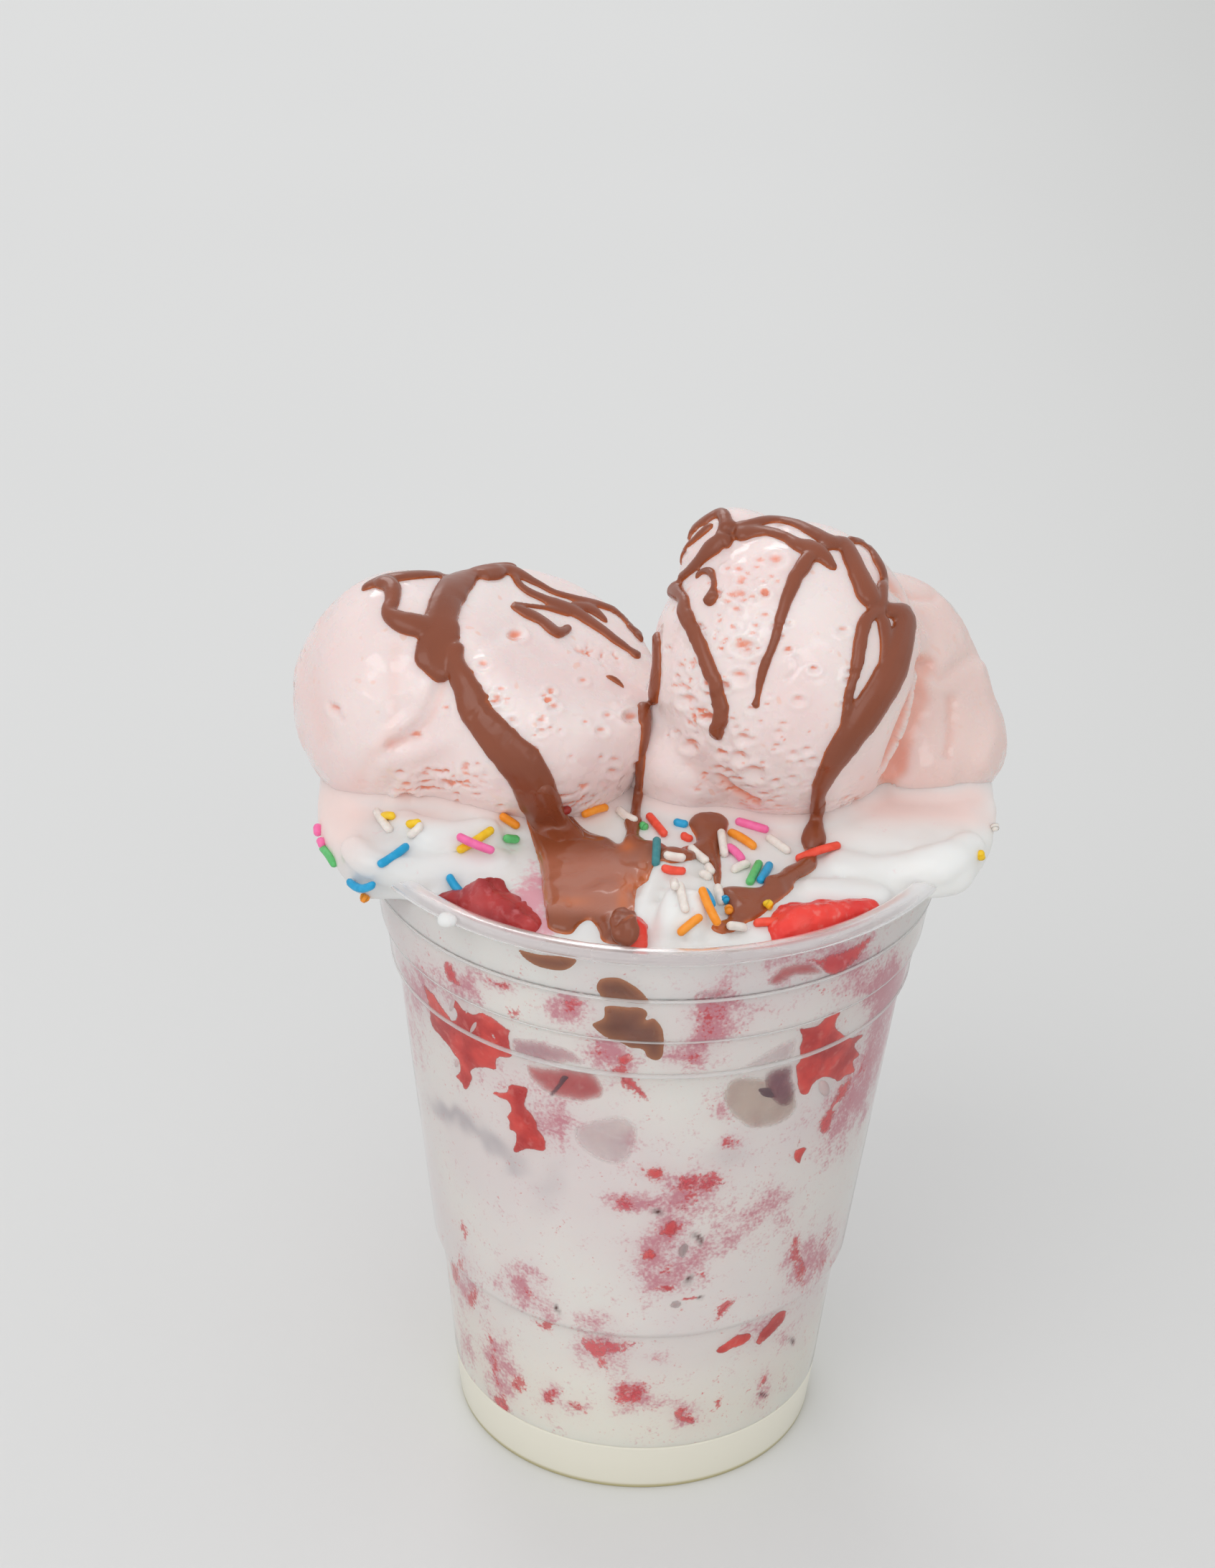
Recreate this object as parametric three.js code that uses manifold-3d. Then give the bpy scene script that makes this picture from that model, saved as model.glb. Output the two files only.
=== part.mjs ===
// Strawberries and cream in a clear plastic cup, under a ring of whipped cream with sprinkles and two
// scoops of strawberry ice cream with chocolate drizzle. Millimetres, +Z up, the cup's foot on z = 0
// and its axis on x = y = 0. The front of the dessert faces -Y.
import * as THREE from 'three';
import { mergeVertices } from 'three/addons/utils/BufferGeometryUtils.js';
import Module from 'manifold-3d';

const wasm = await Module();
wasm.setup();

// Driving dimensions of the cup
const cupHeight = 113.5;
const wall = 0.8;
const footHeight = 8.3;
const lipRadius = 49;
const lipInside = 45.3;
const lipDepth = 2.9;
// The outside of the wall, as heights and radii: foot, lower wall, step, upper wall, stacking ledges
const cupRings = [
  [0, 30.2], [footHeight, 31.2], [26, 32.7], [30.5, 34.4], [34.5, 35.0],
  [84, 40.7], [88, 41.4], [88.7, 42.1], [95, 43.1], [95.7, 43.7], [103, 44.7], [103.7, 45.2],
  [cupHeight - lipDepth, 45.9],
];

// What a sliver is, where pieces are joined
const sliverHeight = 0.02;
const shortSide = 0.12;

// Driving dimensions of what is in the cup and on it
const gap = 0.3;                 // kept between pieces that touch
const coarseSlack = 0.85;        // what coarse facets cut off a scoop's round sides
const fillingTop = 104;          // how high the strawberries in cream stand
const creamTop = 116.5;          // the middle of the whipped cream, under the scoops
const creamReach = 50.2;         // how far the ring of whipped cream comes out at the back
const creamSideReach = 54;       // and at both sides, where it hangs over the lip
const roundSides = 32;           // sides of the cup, of what fills it and of the whipped cream

// Chocolate is thickest along the middle of a strand and runs a little into what it lies on
const chocolateRise = 1.1;
const chocolateSink = 0.8;
const ribbonStep = 3.8;
const ribbonSides = 6;

// Sprinkles are short sugar rods
const sprinkleLength = 6.6;
const sprinkleRadius = 0.8;
const sprinkleCount = 32;

// What wanders freely is set out by eye, as it is seen by someone who looks down at the cup from the
// front: millimetres across and up in the plane through the middle of the rim that faces the viewer.
// It is then dropped along the line of sight on to whatever it lies on.
const viewer = new THREE.Vector3(0, -448.7, 347.8);
const rimMiddle = new THREE.Vector3(0, 0, cupHeight);
const sightLine = rimMiddle.clone().sub(viewer).normalize();
const across = new THREE.Vector3(1, 0, 0);
const upward = across.clone().cross(sightLine);

const finish = {
  plastic: { color: 0xe9ecea, roughness: 0.12, metalness: 0, transparent: true, opacity: 0.3 },
  filling: { color: 0xd9c6c4, roughness: 0.4, metalness: 0 },
  cream: { color: 0xf0f0ee, roughness: 0.45, metalness: 0 },
  iceCream: { color: 0xecd6d2, roughness: 0.4, metalness: 0 },
  darkBerry: { color: 0xa53232, roughness: 0.35, metalness: 0 },
  brightBerry: { color: 0xe14b46, roughness: 0.35, metalness: 0 },
};

// Small helpers

function mix(a, b, t) {
  return a + (b - a) * t;
}

function smoothstep(low, high, x) {
  return THREE.MathUtils.smoothstep(x, low, high);
}

function smoothMin(a, b, width) {
  const h = Math.max(width - Math.abs(a - b), 0) / width;
  return Math.min(a, b) - h * h * width / 4;
}

// A repeatable stream of random numbers between 0 and 1
function randomStream(seed) {
  let state = seed;
  return () => {
    state = (state * 1664525 + 1013904223) % 4294967296;
    return state / 4294967296;
  };
}

// Gentle lumps, about `size` across and one high, the same at the same place every time
function lumps(p, size) {
  const k = 2 * Math.PI / size;
  return (
    Math.sin(k * p.x + 1.3) * Math.sin(k * 0.9 * p.y + 0.4)
    + Math.sin(k * 0.8 * p.z + 2.1) * Math.sin(k * 1.1 * p.x - 0.7)
    + Math.sin(k * 1.2 * p.y + 0.9) * Math.sin(k * 0.7 * p.z - 1.9)
  ) / 3;
}

// Solids

// Welds a closed three.js geometry and drops the triangles that shrink to nothing at a pole
function weld(geometry) {
  const bare = geometry.clone();
  bare.deleteAttribute('normal');
  bare.deleteAttribute('uv');
  const merged = mergeVertices(bare, 1e-4);
  const kept = [];
  for (let i = 0; i < merged.index.count; i += 3) {
    const [a, b, c] = [0, 1, 2].map((j) => merged.index.getX(i + j));
    if (a !== b && b !== c && c !== a) {
      kept.push(a, b, c);
    }
  }
  merged.setIndex(kept);
  return merged;
}

function signedVolume(geometry) {
  const at = geometry.attributes.position;
  const corner = [new THREE.Vector3(), new THREE.Vector3(), new THREE.Vector3()];
  let volume = 0;
  for (let i = 0; i < geometry.index.count; i += 3) {
    corner.forEach((v, j) => v.fromBufferAttribute(at, geometry.index.getX(i + j)));
    volume += corner[0].dot(corner[1].clone().cross(corner[2])) / 6;
  }
  return volume;
}

function solidFrom(geometry) {
  const welded = weld(geometry);
  const triangles = Uint32Array.from(welded.index.array);
  if (signedVolume(welded) < 0) {
    for (let i = 0; i < triangles.length; i += 3) {
      [triangles[i], triangles[i + 1]] = [triangles[i + 1], triangles[i]];
    }
  }
  return new wasm.Manifold(new wasm.Mesh({
    numProp: 3,
    vertProperties: Float32Array.from(welded.attributes.position.array),
    triVerts: triangles,
  }));
}

function geometryFrom(solid) {
  const mesh = solid.getMesh();
  const geometry = new THREE.BufferGeometry();
  geometry.setAttribute('position', new THREE.BufferAttribute(mesh.vertProperties, 3));
  geometry.setIndex(new THREE.BufferAttribute(mesh.triVerts, 1));
  geometry.computeVertexNormals();
  return geometry;
}

// Where two surfaces cross at a shallow angle, a join leaves slivers. One pass over them: a sliver with
// a short side is closed up, and any other one shares its long side's neighbour out anew.
function withoutSlivers(corners, faces) {
  const facing = new Map();
  const beside = corners.map(() => new Set());
  faces.forEach((face, f) => face.forEach((a, i) => {
    const b = face[(i + 1) % 3];
    facing.set(`${a} ${b}`, f);
    beside[a].add(b);
  }));
  const touched = new Set();
  const moved = new Map();
  const dropped = new Set();
  faces.forEach((face, f) => {
    const sides = face.map((a, i) => corners[a].distanceTo(corners[face[(i + 1) % 3]]));
    const area = new THREE.Triangle(...face.map((a) => corners[a])).getArea();
    if (2 * area > sliverHeight * Math.max(...sides)) {
      return;
    }
    const short = sides.indexOf(Math.min(...sides));
    const [a, b] = [face[short], face[(short + 1) % 3]];
    const shared = [...beside[a]].filter((v) => beside[b].has(v));
    const ring = [a, b, ...beside[a], ...beside[b]];
    if (sides[short] < shortSide && shared.length === 2 && !ring.some((v) => touched.has(v))) {
      ring.forEach((v) => touched.add(v));
      moved.set(b, a);
      return;
    }
    const long = sides.indexOf(Math.max(...sides));
    const [p, q, tip] = [0, 1, 2].map((i) => face[(long + i) % 3]);
    const other = facing.get(`${q} ${p}`);
    const far = faces[other].find((v) => v !== p && v !== q);
    if (!beside[tip].has(far) && ![p, q, tip, far].some((v) => touched.has(v))) {
      [p, q, tip, far].forEach((v) => touched.add(v));
      dropped.add(f).add(other);
      faces.push([p, far, tip], [far, q, tip]);
    }
  });
  return faces
    .filter((_, f) => !dropped.has(f))
    .map((face) => face.map((v) => moved.get(v) ?? v))
    .filter(([a, b, c]) => a !== b && b !== c && c !== a);
}

function tidied(solid) {
  const mesh = solid.getMesh();
  const corners = [];
  for (let i = 0; i < mesh.vertProperties.length; i += 3) {
    corners.push(new THREE.Vector3().fromArray(mesh.vertProperties, i));
  }
  let faces = [];
  for (let i = 0; i < mesh.triVerts.length; i += 3) {
    faces.push([...mesh.triVerts.subarray(i, i + 3)]);
  }
  for (let pass = 0; pass < 30; pass += 1) {
    faces = withoutSlivers(corners, faces);
  }
  const geometry = new THREE.BufferGeometry().setFromPoints(corners);
  geometry.setIndex(faces.flat());
  return solidFrom(geometry);
}

// The largest piece of a solid that a cut has left in several
function largest(solid) {
  return solid.decompose().reduce((a, b) => (a.volume() > b.volume() ? a : b));
}

// Moves every vertex of a geometry to place(vertex)
function reshape(geometry, place) {
  const at = geometry.attributes.position;
  const vertex = new THREE.Vector3();
  for (let i = 0; i < at.count; i += 1) {
    const moved = place(vertex.fromBufferAttribute(at, i));
    at.setXYZ(i, moved.x, moved.y, moved.z);
  }
  return geometry;
}

// A solid of revolution about Z from [radius, height] points: both ends are on the axis, or they meet
function turned(points) {
  const profile = points.map(([r, z]) => new THREE.Vector2(r, z));
  return solidFrom(new THREE.LatheGeometry(profile, roundSides).rotateX(Math.PI / 2));
}

// The cup

function outerRadius(height) {
  const above = cupRings.findIndex(([z]) => z >= height);
  if (above < 1) {
    return above === 0 ? cupRings[0][1] : cupRings.at(-1)[1];
  }
  const [[z0, r0], [z1, r1]] = [cupRings[above - 1], cupRings[above]];
  return mix(r0, r1, (height - z0) / (z1 - z0));
}

function cupSolid() {
  const outside = cupRings.map(([z, r]) => [r, z]);
  const lip = [[47.6, -lipDepth], [48.7, -2.2], [lipRadius, -1.2], [48.3, -0.3], [47.2, 0], [46, -0.2]]
    .map(([r, z]) => [r, cupHeight + z]);
  const inside = cupRings.slice(2).reverse().map(([z, r]) => [r - wall, z]);
  const floor = footHeight + wall;
  return turned([
    [0, footHeight],
    [outerRadius(footHeight) - wall, footHeight],
    [outerRadius(0) - wall, 0],
    ...outside,
    ...lip,
    [lipInside, cupHeight - 1],
    ...inside,
    [outerRadius(floor) - wall, floor],
    [0, floor],
  ]);
}

// The room that the rim takes in what hangs over it
function rimRoom(extra) {
  const low = fillingTop - 2 * gap;
  const top = cupHeight + extra;
  return turned([
    [outerRadius(low) - wall - extra, low], [lipInside - extra, top], [lipRadius + extra, top],
    [lipRadius + extra, low], [outerRadius(low) - wall - extra, low],
  ]);
}

// Strawberries in cream, up to just under the whipped cream
function fillingSolid() {
  const bottom = footHeight + wall + gap;
  const rings = cupRings.filter(([z]) => z > bottom && z < fillingTop);
  const heights = [bottom, ...rings.map(([z]) => z), fillingTop];
  const side = heights.map((z) => [outerRadius(z) - wall - gap, z]);
  return turned([[0, bottom], ...side, [0, fillingTop]]);
}

// Scoops of ice cream: egg-shaped lobes run together, pressed flat in places and creased

const leftScoop = {
  middle: new THREE.Vector3(-29, 7, 127),
  lobes: [
    { at: [-11.3, -1, 0.5], half: [17.6, 21.5, 19.5] },
    { at: [7.5, 0, 0], half: [22, 26, 20.5] },
  ],
  blend: 2,
  facets: [{ towards: [0.46, -0.1, 0.9], reach: 16 }],
  creases: [
    { from: [-7, -22, 10], to: [-15, -20, -11], width: 2.2, depth: 1.4 },
    { from: [-2, -24, -9], to: [14, -24, -12], width: 2.4, depth: 0.9 },
  ],
};

const rightScoop = {
  middle: new THREE.Vector3(22, 7, 132),
  lobes: [
    { at: [-2, -2, 2.4], half: [21.6, 22, 24.2] },
    { at: [-11, 4, 17], half: [8.4, 9, 9.8] },
    { at: [12.5, 8, 0.5], half: [15.5, 15, 14.5] },
    { at: [18.3, 5.5, -12], half: [16, 15, 12] },
    { at: [-16, -3, -10.5], half: [13, 14, 11] },
  ],
  blend: 2.4,
  facets: [],
  creases: [
    { from: [19, -9, 4], to: [15, -14, -14], width: 2.4, depth: 2.2 },
    { from: [27, -5, 2], to: [27, -8, -14], width: 2, depth: 1.4 },
    { from: [20, 0, 13], to: [29, 2, 4], width: 2.2, depth: 0.9 },
  ],
};

// Below zero inside the run-together lobes; p is measured from the scoop's middle
function lobeField(scoop, p) {
  return scoop.lobes.reduce((field, { at, half }) => {
    const q = new THREE.Vector3((p.x - at[0]) / half[0], (p.y - at[1]) / half[1], (p.z - at[2]) / half[2]);
    return smoothMin(field, (q.length() - 1) * Math.min(...half), scoop.blend);
  }, 100);
}

// How far the ice cream reaches from the scoop's middle in one direction
function scoopReach(scoop, direction) {
  const beyond = (distance) => lobeField(scoop, direction.clone().multiplyScalar(distance)) > 0;
  let outer = 48;
  while (outer > 4 && beyond(outer)) {
    outer -= 2;
  }
  let inner = outer;
  outer += 2;
  for (let i = 0; i < 12; i += 1) {
    const half = (inner + outer) / 2;
    if (beyond(half)) {
      outer = half;
    } else {
      inner = half;
    }
  }
  let reach = inner;
  for (const facet of scoop.facets) {
    const slope = direction.dot(new THREE.Vector3(...facet.towards).normalize());
    if (slope > 0.05) {
      reach = smoothMin(reach, facet.reach / slope, 2.5);
    }
  }
  const p = direction.clone().multiplyScalar(reach);
  const creased = scoop.creases.reduce((depth, crease) => {
    const line = new THREE.Line3(new THREE.Vector3(...crease.from), new THREE.Vector3(...crease.to));
    const away = line.closestPointToPoint(p, true, new THREE.Vector3()).distanceTo(p);
    return depth + crease.depth * Math.exp(-((away / crease.width) ** 2));
  }, 0);
  return reach + 0.5 * lumps(p, 19) - creased;
}

function scoopGeometry(scoop, extra = 0, detail = 7) {
  return reshape(new THREE.IcosahedronGeometry(1, detail), (v) => {
    const direction = v.clone().normalize();
    return direction.multiplyScalar(scoopReach(scoop, direction) + extra).add(scoop.middle);
  });
}

// The room a scoop takes in its neighbours, in coarser facets that stand clear of it all round
function scoopRoom(scoop, extra) {
  return solidFrom(scoopGeometry(scoop, extra + coarseSlack, 5));
}

// Toppings dropped on to a mesh

const sight = new THREE.Raycaster();

function meshOf(solid) {
  const mesh = new THREE.Mesh(geometryFrom(solid), new THREE.MeshStandardMaterial({ side: THREE.DoubleSide }));
  mesh.updateMatrixWorld();
  return mesh;
}

function inView(point) {
  const ahead = point.clone().sub(viewer);
  const scale = rimMiddle.clone().sub(viewer).dot(sightLine) / ahead.dot(sightLine);
  const offset = ahead.multiplyScalar(scale).add(viewer).sub(rimMiddle);
  return new THREE.Vector2(offset.dot(across), offset.dot(upward));
}

// Where the line of sight through a place in the viewing plane meets the target. A place just outside
// the target's outline slides towards its middle until it meets it.
function dropFromView(target, place, middle) {
  const aim = place.clone();
  for (let i = 0; i < 60; i += 1) {
    const through = rimMiddle.clone().addScaledVector(across, aim.x).addScaledVector(upward, aim.y);
    sight.set(viewer, through.sub(viewer).normalize());
    const hit = sight.intersectObject(target)[0];
    if (hit) {
      return hit;
    }
    aim.add(middle.clone().sub(place).setLength(0.4));
  }
  throw new Error('a topping misses what it should lie on');
}

// A ribbon of chocolate along [across, up, half width] places, with rounded ends
function ribbon(target, middle, places) {
  const path = new THREE.CatmullRomCurve3(places.map((p) => new THREE.Vector3(...p)), false, 'centripetal');
  const flat = new THREE.CatmullRomCurve3(
    places.map(([x, y]) => new THREE.Vector3(x, y, 0)), false, 'centripetal',
  );
  const steps = Math.max(2, Math.round(flat.getLength() / ribbonStep));
  return reshape(new THREE.CylinderGeometry(1, 1, 1, ribbonSides, steps), (v) => {
    const along = v.y + 0.5;
    const here = path.getPoint(along);
    const way = flat.getTangent(along);
    const atEnd = along < 1e-6 || along > 1 - 1e-6;
    const aside = v.x * here.z * (atEnd ? 0.55 : 1);
    const place = new THREE.Vector2(here.x + way.y * aside, here.y - way.x * aside);
    const hit = dropFromView(target, place, middle);
    const thickness = Math.min(chocolateRise, here.z * 0.9) * (atEnd ? 0.6 : 1);
    const height = v.z > 1e-6 ? thickness * Math.sqrt(1 - v.x * v.x) : v.z < -1e-6 ? -chocolateSink : 0;
    return hit.point.clone().addScaledVector(hit.normal, height);
  });
}

// All the chocolate of a list of ribbons, poured over a solid
function poured(solid, ribbons) {
  const target = meshOf(solid);
  target.geometry.computeBoundingSphere();
  const middle = inView(target.geometry.boundingSphere.center);
  return ribbons.map((places) => solidFrom(ribbon(target, middle, places))).reduce((a, b) => a.add(b));
}

const leftDrizzle = [
  // over the ridge, from the left end to the hollow between the scoops
  [[-46.6, 30.4, 0.8], [-42.5, 32, 0.9], [-36, 32.8, 0.9], [-29, 33.6, 1.1], [-23.5, 33.8, 1], [-16.5, 31.4, 0.8],
    [-8, 29, 0.7], [-4.6, 27.6, 0.6]],
  // the loop on the left shoulder
  [[-43.4, 31.4, 1.1], [-43.2, 29.5, 1.2], [-41.7, 27.3, 1.6], [-37.5, 26.2, 1.9]],
  // the broad run down the front
  [[-30, 33.2, 1.8], [-33, 31.4, 2.5], [-35, 28, 2.9], [-35.4, 24, 3.6], [-35.8, 20.6, 3]],
  [[-33, 21.5, 1.8], [-30.4, 16, 2.1], [-27.5, 11.5, 2.6], [-22.8, 6, 3.1], [-20.4, 3.2, 3.2]],
  // thin runs across the flat at the top right
  [[-23.4, 33.4, 0.8], [-21.5, 31.8, 0.9], [-14.7, 29.7, 1.2], [-7.5, 25.3, 0.9], [-5, 23.8, 0.9]],
  [[-23.6, 30.1, 0.6], [-20, 28.4, 1.1], [-16.2, 26.2, 0.7]],
];

const hollowDrizzle = [
  // down the hollow between the scoops
  [[-1.6, 24.8, 0.7], [-1.8, 20, 0.8], [-1.8, 15.5, 1], [-2.6, 11, 1], [-2.9, 6, 0.7], [-2.9, 1.6, 0.7]],
];

const rightDrizzle = [
  // across the top
  [[5.4, 42.8, 0.7], [7.4, 44.2, 0.9], [10.3, 42.9, 1.7], [14, 43.4, 1.1], [20.5, 42.4, 1.1], [26.2, 39, 0.7]],
  [[13, 43.6, 0.8], [17.5, 44.4, 0.8], [22.5, 43.2, 0.9], [26.5, 41.4, 0.9], [29.5, 40, 1.6], [31.8, 36, 1.9],
    [33.4, 32.6, 1.4]],
  // down the left side
  [[9.2, 41.6, 1.1], [5.6, 38.4, 0.7], [2.9, 34.6, 1.1], [3.4, 30.8, 1], [6, 25, 1.2], [8.6, 19, 1.1],
    [9.3, 11, 1.1]],
  [[6.4, 36.2, 0.5], [7.7, 35.6, 0.6], [7.6, 32.6, 1]],
  // down the middle
  [[23, 39.4, 1.1], [20, 34, 1.1], [18, 26.5, 0.8], [15, 14.8, 0.7]],
  // the pair down the right
  [[35.4, 31.2, 0.9], [32.6, 30.2, 1], [31.4, 25.5, 1], [30, 18, 0.8]],
  [[35.6, 31, 1.4], [37.6, 29.2, 2], [36.6, 22.6, 2.3], [33, 15.6, 2.2], [28.5, 8.5, 1.8], [25.8, 2.2, 1.4],
    [25.3, -2.6, 1.1]],
];

const creamDrizzle = [
  // the pool at the front, where the broad run comes down over the rim of cream
  [[-15.5, -4.5, 3.4], [-12.5, -8, 5], [-10.3, -12.5, 6.8], [-9.6, -16.5, 6.6], [-9.8, -20, 5.6]],
  [[-4.5, -7.6, 1.6], [-0.5, -8, 1.7], [4, -8, 1]],
  // the knob and the pool to its right
  [[9.5, -3.6, 2], [10.3, -6.5, 1.5], [11, -11, 1.4], [14, -15.2, 2.4], [18, -14.6, 2], [21.5, -11.8, 1.4],
    [24.6, -8.6, 1.2]],
];

// The whipped cream: a plug inside the rim that swells over the lip at the sides and the back

// The section at one angle, as [radius, height] points from the middle of the underside to the middle
// of the top. Along the front it stays inside the rim; elsewhere it hangs over the lip.
function creamSection(angle) {
  const frontAngle = -86 * Math.PI / 180;
  const turn = Math.abs(THREE.MathUtils.euclideanModulo(angle - frontAngle + Math.PI, 2 * Math.PI) - Math.PI);
  const over = smoothstep(0.9, 1.12, turn);
  const reach = mix(creamReach, creamSideReach, Math.abs(Math.cos(angle)) ** 1.5);
  const wave = Math.sin(5 * angle + 0.6) * over;
  const bottom = fillingTop + gap;
  const plug = outerRadius(bottom) - wall - 2 * gap;
  const inside = [
    [plug, 108], [44.4, 110.4], [44.2, 111.2], [43, 112], [40.5, 112.6], [36.5, 113.4], [28, 114.4], [15, 115.6],
  ];
  const droop = 2 * smoothstep(0.2, 0.8, -Math.cos(angle));
  const hanging = [
    [plug, 108.6], [49.2, 110.4 - droop], [reach - 2.4, 109.9 - droop], [reach - 0.3, 112 - droop / 2],
    [reach - 0.3, 114.4], [reach - 3.8, 116.8], [36, 117.4], [18, creamTop],
  ];
  const side = inside.map(([r, z], i) => [
    mix(r, hanging[i][0], over) + (i > 1 && i < 6 ? 0.5 * wave : 0),
    mix(z, hanging[i][1], over) + (i > 1 ? 0.6 * wave : 0),
  ]);
  return [[0, bottom], [30, bottom], [plug, bottom], ...side, [0, creamTop]];
}

function creamGeometry() {
  const rows = creamSection(0).length;
  const ends = (k) => (k === 0 || k === rows - 1 ? 0 : 1);
  const profile = Array.from({ length: rows }, (_, k) => new THREE.Vector2(ends(k), k));
  const lathe = new THREE.LatheGeometry(profile, roundSides).rotateX(Math.PI / 2);
  return reshape(lathe, (v) => {
    const angle = Math.atan2(v.y, v.x);
    const [r, z] = creamSection(angle)[Math.round(v.z)];
    return v.set(r * Math.cos(angle), r * Math.sin(angle), z);
  });
}

// The petal of cream that stands up at the front, between the two pools of chocolate
function petalGeometry() {
  return reshape(new THREE.SphereGeometry(1, 12, 8), (v) => {
    const ridge = 1 + 0.08 * Math.cos(3 * Math.atan2(v.x, -v.y));
    return v.set(4.2 + 5.8 * v.x * ridge + 0.8 * v.z, -37.8 + 4.6 * v.y * ridge, 112.2 + 6.3 * v.z);
  });
}

// Strawberry pieces that stand in the cream along the inside of the rim
const berries = [
  { name: 'strawberry_left', angle: -125.5, radius: 40.2, half: [8.9, 4.2, 5.2], height: 109.8, finish: 'darkBerry' },
  { name: 'strawberry_right', angle: -48, radius: 40.3, half: [8.8, 4, 4.8], height: 109.2, finish: 'brightBerry' },
  { name: 'strawberry_front', angle: -92, radius: 42.1, half: [2, 1.9, 2.6], height: 110, finish: 'brightBerry' },
];

function berryMiddle(berry) {
  const angle = THREE.MathUtils.degToRad(berry.angle);
  return new THREE.Vector3(berry.radius * Math.cos(angle), berry.radius * Math.sin(angle), berry.height);
}

// A bitten-off wedge that follows the wall: half sizes run along it, out from the axis and up
function berryGeometry(berry, extra) {
  const sides = berry.half[0] > 5 ? [14, 8] : [8, 6];
  const middle = berryMiddle(berry);
  const turn = THREE.MathUtils.degToRad(berry.angle + 90);
  return reshape(new THREE.SphereGeometry(1, ...sides), (v) => {
    const size = 1 + 0.1 * lumps(v.clone().multiplyScalar(10), 11);
    const along = v.x * (berry.half[0] * size + extra);
    const bend = (along * along) / (2 * berry.radius);
    const out = v.y * (berry.half[1] * size + extra) + bend;
    const p = new THREE.Vector3(along, out, v.z * (berry.half[2] * size + extra));
    p.applyAxisAngle(new THREE.Vector3(0, 0, 1), turn).add(middle);
    p.z = Math.max(p.z, fillingTop + 2 * gap - extra);
    return p;
  });
}

// Sprinkles, scattered thickest along the front of the cream
function sprinkleGeometry(middle, way, up) {
  const side = new THREE.Vector3().crossVectors(way, up);
  const rod = new THREE.CapsuleGeometry(sprinkleRadius, sprinkleLength - 2 * sprinkleRadius, 1, 5);
  return rod.applyMatrix4(new THREE.Matrix4().makeBasis(side, way, up).setPosition(middle));
}

function sprinkled(cream, keepClear) {
  const random = randomStream(7);
  const target = meshOf(cream);
  let whole = cream;
  let placed = 0;
  for (let i = 0; i < 40 * sprinkleCount && placed < sprinkleCount; i += 1) {
    const front = random() < 0.6;
    const angle = front ? mix(-2.75, -0.55, random()) : mix(-0.5, 3.5, random());
    const radius = front ? mix(24, 43, random()) : mix(36, 51, random());
    const spin = random() * Math.PI;
    const above = new THREE.Vector3(radius * Math.cos(angle), radius * Math.sin(angle), 200);
    sight.set(above, new THREE.Vector3(0, 0, -1));
    const hit = sight.intersectObject(target)[0];
    if (!hit) {
      continue;
    }
    const level = new THREE.Vector3(Math.cos(spin), Math.sin(spin), 0);
    const way = level.addScaledVector(hit.normal, -level.dot(hit.normal)).normalize();
    const seat = hit.point.clone().addScaledVector(hit.normal, 0.3 * sprinkleRadius);
    const rod = solidFrom(sprinkleGeometry(seat, way, hit.normal));
    if (rod.intersect(keepClear).isEmpty()) {
      whole = whole.add(rod);
      keepClear = keepClear.add(rod);
      placed += 1;
    }
  }
  return whole;
}

// Putting it together

function part(name, solid, look, origin = new THREE.Vector3()) {
  const geometry = geometryFrom(solid).translate(-origin.x, -origin.y, -origin.z);
  const mesh = new THREE.Mesh(geometry, new THREE.MeshStandardMaterial(finish[look]));
  mesh.name = name;
  mesh.position.copy(origin);
  return mesh;
}

const leftRoom = scoopRoom(leftScoop, gap);
const rightRoom = scoopRoom(rightScoop, gap);
const berryRoom = berries.map((berry) => solidFrom(berryGeometry(berry, gap))).reduce((a, b) => a.add(b));

const rightBall = solidFrom(scoopGeometry(rightScoop)).subtract(rimRoom(gap));
const leftBall = solidFrom(scoopGeometry(leftScoop)).subtract(rimRoom(gap)).subtract(rightRoom);
const rightDressed = rightBall
  .add(poured(rightBall, rightDrizzle))
  .add(poured(rightBall, hollowDrizzle).subtract(leftRoom));
const leftDressed = leftBall.add(poured(leftBall, leftDrizzle)).subtract(rightRoom);

const bareCream = solidFrom(creamGeometry()).add(solidFrom(petalGeometry()));
const shapedCream = bareCream
  .add(poured(bareCream, creamDrizzle))
  .subtract(rimRoom(gap).add(leftRoom).add(rightRoom).add(berryRoom));
const keepClear = rimRoom(2 * gap)
  .add(scoopRoom(leftScoop, 3 * gap))
  .add(scoopRoom(rightScoop, 3 * gap))
  .add(berryRoom);
const toppedCream = sprinkled(largest(shapedCream), keepClear);

const dessert = new THREE.Group();
dessert.add(
  part('cup', cupSolid(), 'plastic'),
  part('filling', fillingSolid(), 'filling', new THREE.Vector3(0, 0, footHeight + wall + gap)),
  part('whipped_cream', tidied(toppedCream), 'cream', new THREE.Vector3(0, 0, fillingTop + gap)),
  part('scoop_left', tidied(largest(leftDressed)), 'iceCream', leftScoop.middle),
  part('scoop_right', tidied(largest(rightDressed)), 'iceCream', rightScoop.middle),
);
for (const berry of berries) {
  dessert.add(part(berry.name, solidFrom(berryGeometry(berry, 0)), berry.finish, berryMiddle(berry)));
}

export default dessert;
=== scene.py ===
import math

import bpy
import numpy as np
from mathutils import Matrix, Vector
from mathutils.bvhtree import BVHTree


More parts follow.
